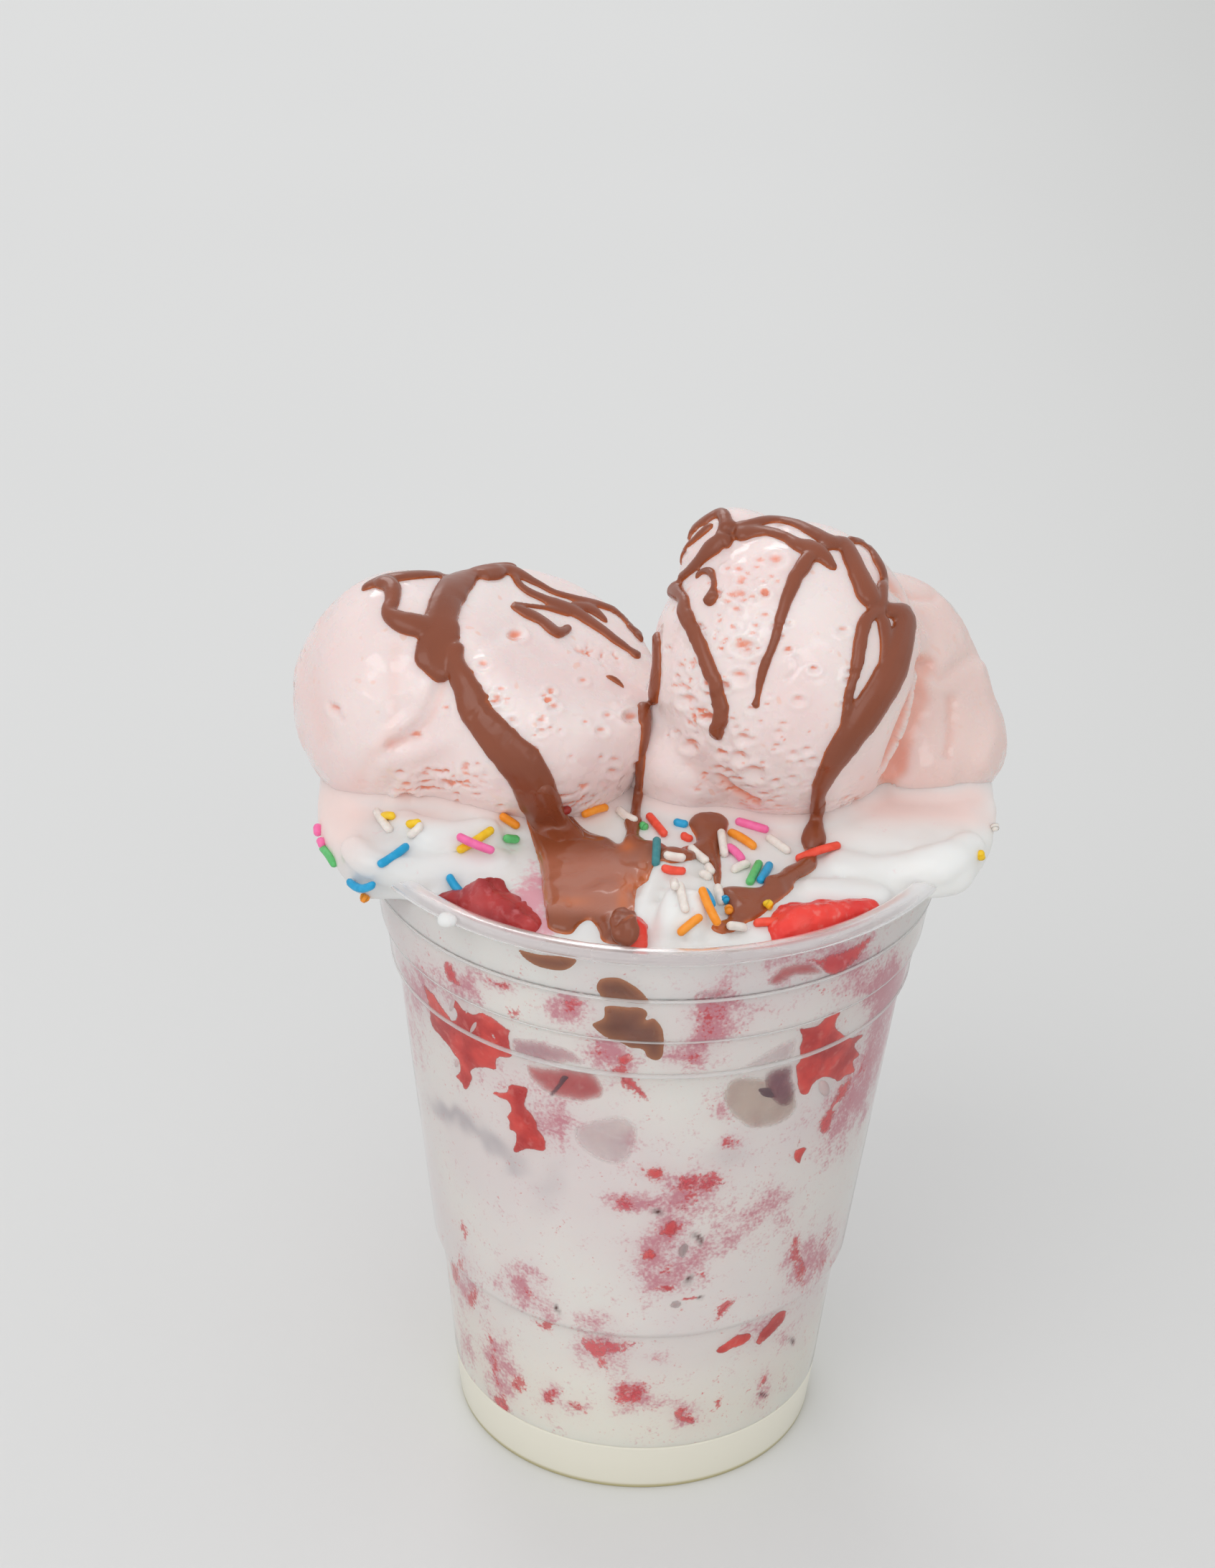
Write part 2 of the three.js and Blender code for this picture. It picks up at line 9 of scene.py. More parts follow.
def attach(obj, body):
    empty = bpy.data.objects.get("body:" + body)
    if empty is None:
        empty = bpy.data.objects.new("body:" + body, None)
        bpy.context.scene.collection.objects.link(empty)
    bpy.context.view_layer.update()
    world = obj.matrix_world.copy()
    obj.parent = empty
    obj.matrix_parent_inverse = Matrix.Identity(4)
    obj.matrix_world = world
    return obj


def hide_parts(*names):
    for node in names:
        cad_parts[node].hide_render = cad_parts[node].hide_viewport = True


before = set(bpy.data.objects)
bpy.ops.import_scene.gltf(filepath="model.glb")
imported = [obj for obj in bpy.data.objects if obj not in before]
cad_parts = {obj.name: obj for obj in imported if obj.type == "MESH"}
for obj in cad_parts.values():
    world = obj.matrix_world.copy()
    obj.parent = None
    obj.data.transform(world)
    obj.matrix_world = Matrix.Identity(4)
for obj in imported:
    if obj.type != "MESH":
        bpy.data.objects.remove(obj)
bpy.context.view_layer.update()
mm = 0.001  # shapes are worked out in millimetres and made in metres
coarse = 1.0


# The camera stands where the dessert was seen from

camera = {
    "place": (0.0, -448.7, 347.8),
    "down": 27.30,  # degrees
    "turn": -0.99,
    "roll": 1.76,
    "lens": 73.17,
    "sensor": 36.0,
}


def makeCamera():
    down, turn, roll = (math.radians(camera[key]) for key in ("down", "turn", "roll"))
    ahead = Vector((math.sin(turn) * math.cos(down), math.cos(turn) * math.cos(down), -math.sin(down)))
    level = Vector((math.cos(turn), -math.sin(turn), 0))
    upright = level.cross(ahead)
    right = level * math.cos(roll) + upright * math.sin(roll)
    above = upright * math.cos(roll) - level * math.sin(roll)
    data = bpy.data.cameras.new("camera")
    data.lens = camera["lens"]
    data.sensor_width = camera["sensor"]
    data.clip_start = 0.01
    data.clip_end = 20
    seer = bpy.data.objects.new("camera", data)
    bpy.context.collection.objects.link(seer)
    seer.matrix_world = Matrix.Translation(Vector(camera["place"]) * mm) @ Matrix(
        (right, above, -ahead)).transposed().to_4x4()
    bpy.context.scene.camera = seer


makeCamera()
print("camera placed")


# Soft studio light on a pale seamless floor

studio = {
    "worldStrength": 0.77,
    "keyPlace": (-1.2, -1.9, 2.4),
    "keySize": 2.8,
    "keyPower": 23.0,
    "fillPlace": (1.1, -2.9, 1.5),
    "fillSize": 2.0,
    "fillPower": 9.0,
    "backPlace": (-0.8, 2.4, 1.9),
    "backSize": 1.6,
    "backPower": 11.0,
    "aim": (0, 0, 0.09),
    "floorHalf": 6000,  # millimetres, the rest is in metres and watts
}


def areaLight(name, place, size, power):
    data = bpy.data.lights.new(name, "AREA")
    data.shape = "DISK"
    data.size = size
    data.energy = power
    lamp = bpy.data.objects.new(name, data)
    bpy.context.collection.objects.link(lamp)
    lamp.location = place
    towards = Vector(studio["aim"]) - Vector(place)
    lamp.rotation_mode = "QUATERNION"
    lamp.rotation_quaternion = towards.to_track_quat("-Z", "Y")


# a colour seen on the screen, from 0 to 255, as the shader wants it
def paint(red, green, blue):
    def flat(value):
        value /= 255
        return value / 12.92 if value <= 0.04045 else ((value + 0.055) / 1.055) ** 2.4
    return (flat(red), flat(green), flat(blue), 1.0)


def makeStudio():
    scene = bpy.context.scene
    scene.view_settings.view_transform = "Standard"
    world = bpy.data.worlds.new("studio")
    world.use_nodes = True
    sky = world.node_tree.nodes["Background"]
    sky.inputs["Color"].default_value = paint(250, 251, 252)
    sky.inputs["Strength"].default_value = studio["worldStrength"]
    scene.world = world
    areaLight("key", studio["keyPlace"], studio["keySize"], studio["keyPower"])
    areaLight("fill", studio["fillPlace"], studio["fillSize"], studio["fillPower"])
    areaLight("back", studio["backPlace"], studio["backSize"], studio["backPower"])


makeStudio()
print("studio lit")


# Tools for shapes

def pieceFrom(name, points, faces):
    mesh = bpy.data.meshes.new(name)
    mesh.from_pydata((np.asarray(points, float) * mm).tolist(), [], [list(face) for face in faces])
    mesh.update()
    piece = bpy.data.objects.new(name, mesh)
    bpy.context.collection.objects.link(piece)
    return piece


def cornersOf(piece):
    flat = np.empty(len(piece.data.vertices) * 3, np.float32)
    piece.data.vertices.foreach_get("co", flat)
    return flat.reshape(-1, 3).astype(float) / mm


def normalsOf(piece):
    flat = np.empty(len(piece.data.vertices) * 3, np.float32)
    piece.data.vertex_normals.foreach_get("vector", flat)
    return flat.reshape(-1, 3).astype(float)


def moveCorners(piece, points):
    piece.data.vertices.foreach_set("co", (points * mm).astype(np.float32).ravel())
    piece.data.update()


def setField(piece, name, values):
    field = piece.data.attributes.new(name, "FLOAT", "POINT")
    field.data.foreach_set("value", np.asarray(values, np.float32))


def runModifier(piece, kind, **settings):
    modifier = piece.modifiers.new(kind, kind)
    for key, value in settings.items():
        setattr(modifier, key, value)
    made = bpy.data.meshes.new_from_object(piece.evaluated_get(bpy.context.evaluated_depsgraph_get()))
    old = piece.data
    piece.modifiers.clear()
    piece.data = made
    made.name = piece.name
    bpy.data.meshes.remove(old)


def remeshed(piece, size, smoothing=0):
    runModifier(piece, "REMESH", mode="VOXEL", voxel_size=size * mm * coarse)
    if smoothing:
        runModifier(piece, "SMOOTH", factor=0.5, iterations=smoothing)


def fieldValues(piece, name):
    values = np.zeros(len(piece.data.vertices), np.float32)
    if name in piece.data.attributes:
        piece.data.attributes[name].data.foreach_get("value", values)
    return values


def thrownAway(piece):
    old = piece.data
    bpy.data.objects.remove(piece)
    bpy.data.meshes.remove(old)


def gathered(pieces):
    points, faces = [], []
    for piece in pieces:
        start = len(points)
        points.extend(cornersOf(piece).tolist())
        faces.extend([start + v for v in face.vertices] for face in piece.data.polygons)
    return points, faces


# several pieces as one, with how near each point is to an edge kept
def joined(name, pieces):
    whole = pieceFrom(name, *gathered(pieces))
    setField(whole, "edge", np.concatenate([fieldValues(piece, "edge") for piece in pieces]))
    for piece in pieces:
        thrownAway(piece)
    return whole


def finishPiece(piece, material, slot, *nodes):
    piece.data.materials.clear()
    piece.data.materials.append(material)
    piece.data.polygons.foreach_set("use_smooth", [True] * len(piece.data.polygons))
    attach(piece, "root")
    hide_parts(*nodes)
    print(piece.name, len(piece.data.polygons), "faces")


def blend(low, high, value):
    t = np.clip((value - low) / (high - low), 0, 1)
    return t * t * (3 - 2 * t)


# smooth lumps between -1 and 1, about `size` millimetres across
def softNoise(points, size, seed=0):
    place = points / size + 13.7 * seed + 100
    cell = np.floor(place).astype(np.int64)
    part = place - cell
    part = part * part * (3 - 2 * part)
    total = np.zeros(len(points))
    for corner in range(8):
        step = np.array([corner & 1, corner >> 1 & 1, corner >> 2 & 1])
        x, y, z = (cell + step).T
        mixed = (x * 73856093) ^ (y * 19349663) ^ (z * 83492791) ^ (seed * 26544357)
        mixed = ((mixed & 0xFFFFFFFF) ^ (mixed >> 13 & 0x7FFFF)) * 1274126177 & 0xFFFFFFFF
        value = (mixed >> 8 & 0xFFFF) / 32767.5 - 1
        total += value * np.prod(np.where(step, part, 1 - part), axis=1)
    return total


def layeredNoise(points, size, layers=3, seed=0):
    return sum(softNoise(points, size / 2 ** k, seed + k) / 2 ** k for k in range(layers)) / 1.5


# places in a row, joined by a smooth curve and spaced evenly along it
def smoothPath(places, step, closed=False):
    places = np.asarray(places, float)
    count = len(places)
    before, after = (np.roll(places, 1, 0), np.roll(places, -1, 0))
    if not closed:
        before[0], after[-1] = 2 * places[0] - places[1], 2 * places[-1] - places[-2]
    slope = (after - before) / 2
    line = []
    for i in range(count if closed else count - 1):
        j = (i + 1) % count
        for t in np.linspace(0, 1, 12, endpoint=False):
            line.append((2 * t**3 - 3 * t**2 + 1) * places[i] + (t**3 - 2 * t**2 + t) * slope[i]
                        + (3 * t**2 - 2 * t**3) * places[j] + (t**3 - t**2) * slope[j])
    line.append(places[0] if closed else places[-1])
    line = np.array(line)
    run = np.concatenate([[0], np.cumsum(np.linalg.norm(np.diff(line[:, :2], axis=0), axis=1))])
    spots = np.linspace(0, run[-1], max(3, round(run[-1] / step) + 1))
    if closed:
        spots = spots[:-1]
    return np.stack([np.interp(spots, run, line[:, k]) for k in range(line.shape[1])], 1)


# What wanders freely is set out in millimetres across and up in the plane through the middle of
# the rim that faces the viewer. It is then dropped along the line of sight on to what it lies on.

rimMiddle = np.array([0, 0, 113.5])
frontEye = np.array(camera["place"])


# eye, line of sight, across and up, for the front (1) or for the same place behind (-1)
def sightOf(side):
    eye = frontEye * (1, side, 1)
    line = (rimMiddle - eye) / np.linalg.norm(rimMiddle - eye)
    across = np.array([side, 0, 0])
    return eye, line, across, np.cross(across, line)


def inView(points, side=1):
    eye, line, across, up = sightOf(side)
    away = points - eye
    scale = np.linalg.norm(rimMiddle - eye) / (away @ line)
    return np.stack([(away @ across) * scale, (away @ up) * scale], -1)


def resting(*pieces):
    points, faces = gathered(pieces)
    return {"tree": BVHTree.FromPolygons(points, faces), "middle": np.mean(points, 0)}


# where the line of sight meets what things rest on, and its normal; a miss slides towards the middle
def dropped(rest, place, side=1):
    eye, _, across, up = sightOf(side)
    place = np.asarray(place[:2], float)
    slide = inView(rest["middle"], side) - place
    slide /= np.linalg.norm(slide) + 1e-9
    for _ in range(90):
        through = rimMiddle + across * place[0] + up * place[1]
        hit, normal, _, _ = rest["tree"].ray_cast(Vector(eye), Vector(through - eye).normalized())
        if hit is not None:
            if normal.dot(Vector(through - eye)) > 0:
                normal = -normal
            return np.array(hit), np.array(normal)
        place = place + slide * 0.4
    raise ValueError("nothing to lie on")


# how far each place is from a chain of points
def distanceToLine(places, line):
    nearest = np.full(len(places), 1e9)
    for start, end in zip(line[:-1], line[1:]):
        way = end - start
        t = np.clip((places - start) @ way / (way @ way + 1e-12), 0, 1)
        nearest = np.minimum(nearest, np.linalg.norm(places - start - t[:, None] * way, axis=1))
    return nearest


def insideOutline(places, outline):
    inside = np.zeros(len(places), bool)
    x, y = places.T
    for (x0, y0), (x1, y1) in zip(outline, np.roll(outline, -1, 0)):
        crosses = (y0 > y) != (y1 > y)
        inside ^= crosses & (x < (x1 - x0) * (y - y0) / (y1 - y0 + 1e-12) + x0)
    return inside


# a closed sheet inside an outline, lying on a surface and crowned inwards from its edge
def sheetPiece(outline, rest, rise, sink, soft, spacing=0.4, side=1, ragged=0.0):
    edge = smoothPath(outline, 0.4, closed=True)
    if ragged:
        shake = np.c_[edge, np.zeros(len(edge))]
        edge = edge + ragged * np.c_[layeredNoise(shake, 1.9, 3, 5), layeredNoise(shake, 1.9, 3, 9)]
    low, high = edge.min(0) - spacing, edge.max(0) + spacing
    columns = np.arange(low[0], high[0] + spacing, spacing)
    rows = np.arange(low[1], high[1] + spacing, spacing)
    grid = np.stack(np.meshgrid(columns, rows), -1)
    middles = grid[:-1, :-1] + spacing / 2
    inside = insideOutline(middles.reshape(-1, 2), edge).reshape(middles.shape[:2])
    used, cells = {}, []
    for row, column in zip(*np.nonzero(inside)):
        ring = [(row, column), (row, column + 1), (row + 1, column + 1), (row + 1, column)]
        cells.append([used.setdefault(spot, len(used)) for spot in ring])
    spots = np.array([grid[spot] for spot in used])
    depth = distanceToLine(spots, np.vstack([edge, edge[:1]]))
    outside = ~insideOutline(spots, edge)
    for i in np.nonzero(outside | (depth < 0.3 * spacing))[0]:
        spots[i] = edge[np.argmin(np.linalg.norm(edge - spots[i], axis=1))]
        depth[i] = 0
    top, bottom = [], []
    for spot, inward in zip(spots, depth):
        hit, normal = dropped(rest, spot, side)
        top.append(hit + normal * (rise * (1 - math.exp(-inward / soft)) - 0.06 * math.exp(-inward / 0.3)))
        bottom.append(hit - normal * sink)
    count = len(spots)
    faces = [list(cell) for cell in cells] + [[count + v for v in reversed(cell)] for cell in cells]
    borders = {(a, b) for cell in cells for a, b in zip(cell, cell[1:] + cell[:1])}
    faces += [[b, a, count + a, count + b] for a, b in borders if (b, a) not in borders]
    piece = pieceFrom("sheet", top + bottom, faces)
    setField(piece, "edge", np.exp(-np.concatenate([depth, depth * 0]) / 0.9))
    return piece


# a rounded strand that hugs what it lies on, from places as seen
def strandPiece(rest, places, side=1, rise=1.5, seed=0):
    path = smoothPath(places, 0.55)
    hits = [dropped(rest, place, side) for place in path]
    line = np.array([hit for hit, _ in hits])
    normals = np.array([normal for _, normal in hits])
    ways = np.gradient(line, axis=0)
    ways /= np.linalg.norm(ways, axis=1)[:, None] + 1e-9
    sight = line - sightOf(side)[0]
    sight /= np.linalg.norm(sight, axis=1)[:, None]
    run = np.concatenate([[0], np.cumsum(np.linalg.norm(np.diff(line, axis=0), axis=1))])
    # each of its two edges wanders by itself
    wander = [0.26 * layeredNoise(line, 1.5, 2, seed + k) + 0.1 * layeredNoise(line, 3.5, 1, seed + 7 * k)
              for k in (1, 2)]
    sides = 12
    rings = []
    for i, (spot, normal, way) in enumerate(zip(line, normals, ways)):
        aside = np.cross(normal, way)
        aside /= np.linalg.norm(aside) + 1e-9
        facing = math.sqrt(max(1 - (aside @ sight[i]) ** 2, 0.36))
        half = path[i][2] / facing
        end = min(run[i], run[-1] - run[i]) / half
        taper = math.sqrt(max(1 - (1 - min(end, 1)) ** 2, 0.04))
        height = min(rise, 0.85 * path[i][2] + 0.1) * taper
        ring = []
        for a in np.linspace(0, 2 * math.pi, sides, endpoint=False):
            reach = (half + min(half, 1) * wander[0 if math.cos(a) > 0 else 1][i]) * taper
            near, slope, _, _ = rest["tree"].find_nearest(Vector(spot + aside * reach * math.cos(a)))
            slope = np.array(slope) * (1 if np.dot(slope, normal) > 0 else -1)
            lift = height * math.sin(a) ** 0.8 if math.sin(a) > 0.01 else -0.7 * abs(math.sin(a)) ** 0.5
            ring.append(np.array(near) + slope * lift)
        rings.append(ring)
    points = [p for ring in rings for p in ring] + [np.mean(rings[0], 0), np.mean(rings[-1], 0)]
    faces = []
    last = sides * (len(rings) - 1)
    for k in range(sides):
        n = (k + 1) % sides
        faces += [[a + k, a + n, a + sides + n, a + sides + k] for a in range(0, last, sides)]
        faces += [[n, k, len(points) - 2], [last + k, last + n, len(points) - 1]]
    return pieceFrom("strand", points, faces)


def strands(rest, chains, seed, side=1, rise=1.5):
    return [strandPiece(rest, places, side, rise, seed + i) for i, places in enumerate(chains)]


# Shader groups that several finishes share

def newGroup(name, inputs, outputs):
    group = bpy.data.node_groups.new(name, "ShaderNodeTree")
    for label, value in inputs.items():
        group.interface.new_socket(label, in_out="INPUT",
            socket_type="NodeSocketFloat").default_value = value
    for label in outputs:
        group.interface.new_socket(label, in_out="OUTPUT", socket_type="NodeSocketFloat")
    return group, group.nodes.new("NodeGroupInput"), group.nodes.new("NodeGroupOutput")


# a node with its settings; links name an input socket, with spaces as _, and give a value or a socket
def addNode(tree, kind, settings=None, **links):
    node = tree.nodes.new("ShaderNode" + kind)
    for key, value in (settings or {}).items():
        setattr(node, key, value)
    for key, value in links.items():
        socket = node.inputs[int(key[1:])] if key[1:].isdigit() else node.inputs[key.replace("_", " ")]
        if isinstance(value, bpy.types.NodeSocket):
            tree.links.new(value, socket)
        else:
            socket.default_value = value
    return node


def mathNode(tree, operation, first, second=0.0, third=0.0, clamp=False):
    settings = {"operation": operation, "use_clamp": clamp}
    return addNode(tree, "Math", settings, i0=first, i1=second, i2=third).outputs[0]


def mixColour(tree, amount, first, second):
    node = addNode(tree, "Mix", {"data_type": "RGBA"}, Factor=amount)
    for socket, value in ((node.inputs[6], first), (node.inputs[7], second)):
        if isinstance(value, bpy.types.NodeSocket):
            tree.links.new(value, socket)
        else:
            socket.default_value = value
    return node.outputs[2]


# smoothly from 0 where the value is low to `most` where it is high
def smoothStep(tree, value, low, high, most=1.0):
    return addNode(tree, "MapRange", {"interpolation_type": "SMOOTHSTEP"}, Value=value, From_Min=low,
                   From_Max=high, To_Max=most).outputs[0]


def placeOf(tree, axis=None):
    place = addNode(tree, "TexCoord").outputs["Object"]
    return addNode(tree, "SeparateXYZ", Vector=place).outputs[axis] if axis else place


# cloudy patches: 1 inside, 0 outside; Share is how much they cover, Soft how blurred they are
def blotchGroup():
    inputs = {"Scale": 100.0, "Share": 0.5, "Soft": 0.1, "Detail": 4.0}
    tree, given, result = newGroup("blotches", inputs, ["Mask"])
    cloud = addNode(tree, "TexNoise", Vector=placeOf(tree), Scale=given.outputs["Scale"],
                    Detail=given.outputs["Detail"])
    level = mathNode(tree, "SUBTRACT", 1.0, given.outputs["Share"])
    low = mathNode(tree, "SUBTRACT", level, given.outputs["Soft"])
    high = mathNode(tree, "ADD", level, given.outputs["Soft"])
    tree.links.new(smoothStep(tree, cloud.outputs["Fac"], low, high), result.inputs["Mask"])
    return tree


# a field from the mesh, broken up by clouds and grain, and cut off between Low and High
def raggedGroup():
    inputs = {"Field": 0.0, "Low": 0.3, "High": 0.7, "Cloud Scale": 230.0, "Cloud": 0.5,
              "Grain Scale": 1100.0, "Grain": 0.5}
    tree, given, result = newGroup("raggedMask", inputs, ["Mask"])
    place = placeOf(tree)
    total = given.outputs["Field"]
    for kind in ("Cloud", "Grain"):
        noise = addNode(tree, "TexNoise", Vector=place, Scale=given.outputs[kind + " Scale"], Detail=4.0)
        centred = mathNode(tree, "SUBTRACT", noise.outputs["Fac"], 0.5)
        total = mathNode(tree, "MULTIPLY_ADD", centred, given.outputs[kind], total)
    mask = smoothStep(tree, total, given.outputs["Low"], given.outputs["High"])
    tree.links.new(mask, result.inputs["Mask"])
    return tree


# roughness that drops where the surface is wet, the wet film itself, and a height for its fine grain
def wetGroup():
    inputs = {"Dry": 0.5, "Wet": 0.15, "Patch Scale": 120.0, "Grain Scale": 900.0}
    tree, given, result = newGroup("wetSkin", inputs, ["Roughness", "Film", "Height"])
    place = placeOf(tree)
    patches = addNode(tree, "TexNoise", Vector=place, Scale=given.outputs["Patch Scale"], Detail=3.0)
    share = smoothStep(tree, patches.outputs["Fac"], 0.45, 0.6)
    rough = addNode(tree, "Mix", {"data_type": "FLOAT"}, Factor=share)
    tree.links.new(given.outputs["Dry"], rough.inputs[2])
    tree.links.new(given.outputs["Wet"], rough.inputs[3])
    grain = addNode(tree, "TexNoise", Vector=place, Scale=given.outputs["Grain Scale"], Detail=3.0)
    height = mathNode(tree, "MULTIPLY_ADD", grain.outputs["Fac"], 0.35, patches.outputs["Fac"])
    tree.links.new(rough.outputs[0], result.inputs["Roughness"])
    tree.links.new(share, result.inputs["Film"])
    tree.links.new(height, result.inputs["Height"])
    return tree


blotches = blotchGroup()
raggedMask = raggedGroup()
wetSkin = wetGroup()


def newFinish(name, **sockets):
    material = bpy.data.materials.new(name)
    material.use_nodes = True
    shader = material.node_tree.nodes["Principled BSDF"]
    for key, value in sockets.items():
        shader.inputs[key.replace("_", " ")].default_value = value
    return material, material.node_tree, shader


def placeGroup(tree, group, **values):
    node = tree.nodes.new("ShaderNodeGroup")
    node.node_tree = group
    for key, value in values.items():
        node.inputs[key.replace("_", " ")].default_value = value
    return node


def fieldOf(tree, name):
    return addNode(tree, "Attribute", {"attribute_name": name}).outputs["Fac"]


def raggedField(tree, name, **values):
    mask = placeGroup(tree, raggedMask, **values)
    tree.links.new(fieldOf(tree, name), mask.inputs["Field"])
    return mask.outputs["Mask"]


# one colour with clouds of another in it
def clouded(tree, first, second, scale, soft=0.2, detail=2.0, share=0.5):
    cloud = placeGroup(tree, blotches, Scale=scale, Share=share, Soft=soft, Detail=detail)
    return mixColour(tree, cloud.outputs["Mask"], first, second)


# the wet skin of a finish: its roughness, and where they are wanted its film of wet and its grain
def addSkin(tree, shader, dry, wet, patchScale, grainScale, film=0.0, strength=0.0, distance=0.0004):
    skin = placeGroup(tree, wetSkin, Dry=dry, Wet=wet, Patch_Scale=patchScale, Grain_Scale=grainScale)
    tree.links.new(skin.outputs["Roughness"], shader.inputs["Roughness"])
    if film:
        tree.links.new(mathNode(tree, "MULTIPLY", skin.outputs["Film"], film), shader.inputs["Coat Weight"])
    if strength:
        bump = addNode(tree, "Bump", Height=skin.outputs["Height"], Strength=strength, Distance=distance)
        tree.links.new(bump.outputs[0], shader.inputs["Normal"])


# The cup

cup = {
    "height": 113.5,
    "wall": 0.8,
    "footHeight": 8.3,
    "lipInside": 45.3,
    # heights and outside radii: foot, lower wall, step, upper wall, stacking ledges
    "rings": [(0, 30.2), (8.3, 31.2), (26, 32.9), (34.0, 34.0), (34.6, 35.0), (84, 40.7), (88, 41.4),
              (88.7, 42.1), (95, 43.1), (95.7, 43.7), (102.6, 44.66), (104.2, 45.22), (110.6, 45.9)],
    "beads": [(88.5, 0.4), (95.4, 0.2), (103.4, 0.26)],  # height and half thickness
    "sides": 224,
}


def wallRadius(height):
    heights, radii = zip(*cup["rings"])
    return np.interp(height, heights, radii)


# a chain of points with its corners rounded off
def rounded(points, radius, steps=4, closed=False):
    points = [np.array(p, float) for p in points]
    corners = zip(points[-1:] + points[:-1], points, points[1:] + points[:1]) if closed else zip(
        points[:-2], points[1:-1], points[2:])
    line = [] if closed else [points[0]]
    for before, corner, after in corners:
        back, on = before - corner, after - corner
        cut = min(radius, 0.45 * np.linalg.norm(back), 0.45 * np.linalg.norm(on))
        start = corner + back / np.linalg.norm(back) * cut
        end = corner + on / np.linalg.norm(on) * cut
        for t in np.linspace(0, 1, steps):
            line.append((1 - t) ** 2 * start + 2 * t * (1 - t) * corner + t * t * end)
    return line if closed else line + [points[-1]]


# a solid of revolution from radii and heights; the chain ends on the axis, or else closes on itself
def turned(name, profile, sides):
    angles = np.arange(sides) / sides * 2 * math.pi
    capped = profile[0][0] == 0
    rings = profile[1:-1] if capped else profile
    points = []
    for radius, height in rings:
        points.extend(zip(radius * np.cos(angles), radius * np.sin(angles), [height] * sides))
    last, start, end = (len(rings) - 1) * sides, len(points), len(points) + 1
    faces = []
    for k in range(sides):
        n = (k + 1) % sides
        for ring in range(len(rings) - 1 if capped else len(rings)):
            a, b = ring * sides, (ring + 1) % len(rings) * sides
            faces.append([a + k, a + n, b + n, b + k])
        if capped:
            faces += [[start, n, k], [last + k, last + n, end]]
    if capped:
        points += [(0, 0, profile[0][1]), (0, 0, profile[-1][1])]
    return pieceFrom(name, points, faces)


# light passes straight through thin things, so that what lies behind isn't dimmed
def passLight(tree, shader, tint):
    through = addNode(tree, "BsdfTransparent", Color=tint)
    path = addNode(tree, "LightPath")
    mix = addNode(tree, "MixShader", Fac=path.outputs["Is Shadow Ray"])
    tree.links.new(shader.outputs[0], mix.inputs[1])
    tree.links.new(through.outputs[0], mix.inputs[2])
    tree.links.new(mix.outputs[0], tree.nodes["Material Output"].inputs["Surface"])


def plastic(name, colour, dry, wet, clearness, underEdgeAndShade=None):
    material, tree, shader = newFinish(
        name, Base_Color=colour, IOR=1.3, Metallic=0.0, Transmission_Weight=clearness)
    if underEdgeAndShade:  # the edge that it stands on is darker: the plastic is thicker there, and a painted contact shadow
        edge = smoothStep(tree, placeOf(tree, "Z"), 0.0012, 0.0003)
        tree.links.new(mixColour(tree, edge, colour, underEdgeAndShade), shader.inputs["Base Color"])
    addSkin(tree, shader, dry, wet, 60.0, 400.0)
    passLight(tree, shader, (0.97, 0.97, 0.965, 1))
    return material


def makeWall():
    floor, wall = cup["footHeight"] + cup["wall"], cup["wall"]
    outside = [(wallRadius(floor), floor)] + [(radius, height) for height, radius in cup["rings"][2:]]
    inside = [(radius - wall, height) for radius, height in reversed(outside)]
    return turned("cupWall", rounded(outside + inside, 0.5, closed=True), cup["sides"])


# the lip is rolled outwards and down, and is open underneath
def makeLip():
    top, inside = cup["height"], cup["lipInside"]
    outer = [(inside, top - 3), (inside, top - 1.1), (45.7, top - 0.35), (46.4, top), (47.4, top - 0.02),
             (48.3, top - 0.35), (48.9, top - 1), (48.85, top - 1.7)]
    inner = [(48.4, top - 1.65), (48.4, top - 1.15), (48, top - 0.75), (47.3, top - 0.45),
             (46.5, top - 0.5), (46, top - 0.95), (45.8, top - 3)]
    return turned("cupLip", rounded(outer + inner, 0.3, closed=True), cup["sides"])


# the empty foot: a skirt under a flat floor
def makeFoot():
    foot, wall = cup["footHeight"], cup["wall"]
    profile = [(0, foot), (wallRadius(foot) - wall, foot), (wallRadius(0) - wall, 0), (wallRadius(0), 0),
               (wallRadius(foot + wall), foot + wall), (0, foot + wall)]
    return turned("cupFoot", rounded(profile, 0.4), cup["sides"])


# the plastic is thicker and whiter along the ledges that cups stack on, and these whiter rings are also a
# painted highlight, the bright line that the ledges catch
def makeBead(height, half):
    middle = wallRadius(height) - 0.12
    turns = np.linspace(0, 2 * math.pi, 10, endpoint=False)
    return turned("bead", [(middle + half * math.cos(a), height + 1.2 * half * math.sin(a)) for a in turns],
                  cup["sides"])


cupWall, cupLip, cupFoot = makeWall(), makeLip(), makeFoot()
cupHighlightBeads = joined("cupHighlightBeads", [makeBead(*bead) for bead in cup["beads"]])
for piece, look in (
        (cupHighlightBeads, plastic("beadHighlightPlastic", paint(250, 248, 247), 0.25, 0.12, 0.6)),
        (cupWall, plastic("clearPlastic", paint(252, 252, 251), 0.14, 0.05, 1.0)),
        (cupLip, plastic("milkyPlastic", paint(234, 229, 229), 0.36, 0.22, 0.8)),
        (cupFoot, plastic("footPlastic", paint(240, 236, 221), 0.32, 0.28, 0.1, paint(190, 180, 134)))):
    finishPiece(piece, look, "clear_plastic", "cup")
print("cup made")


# Scoops of ice cream

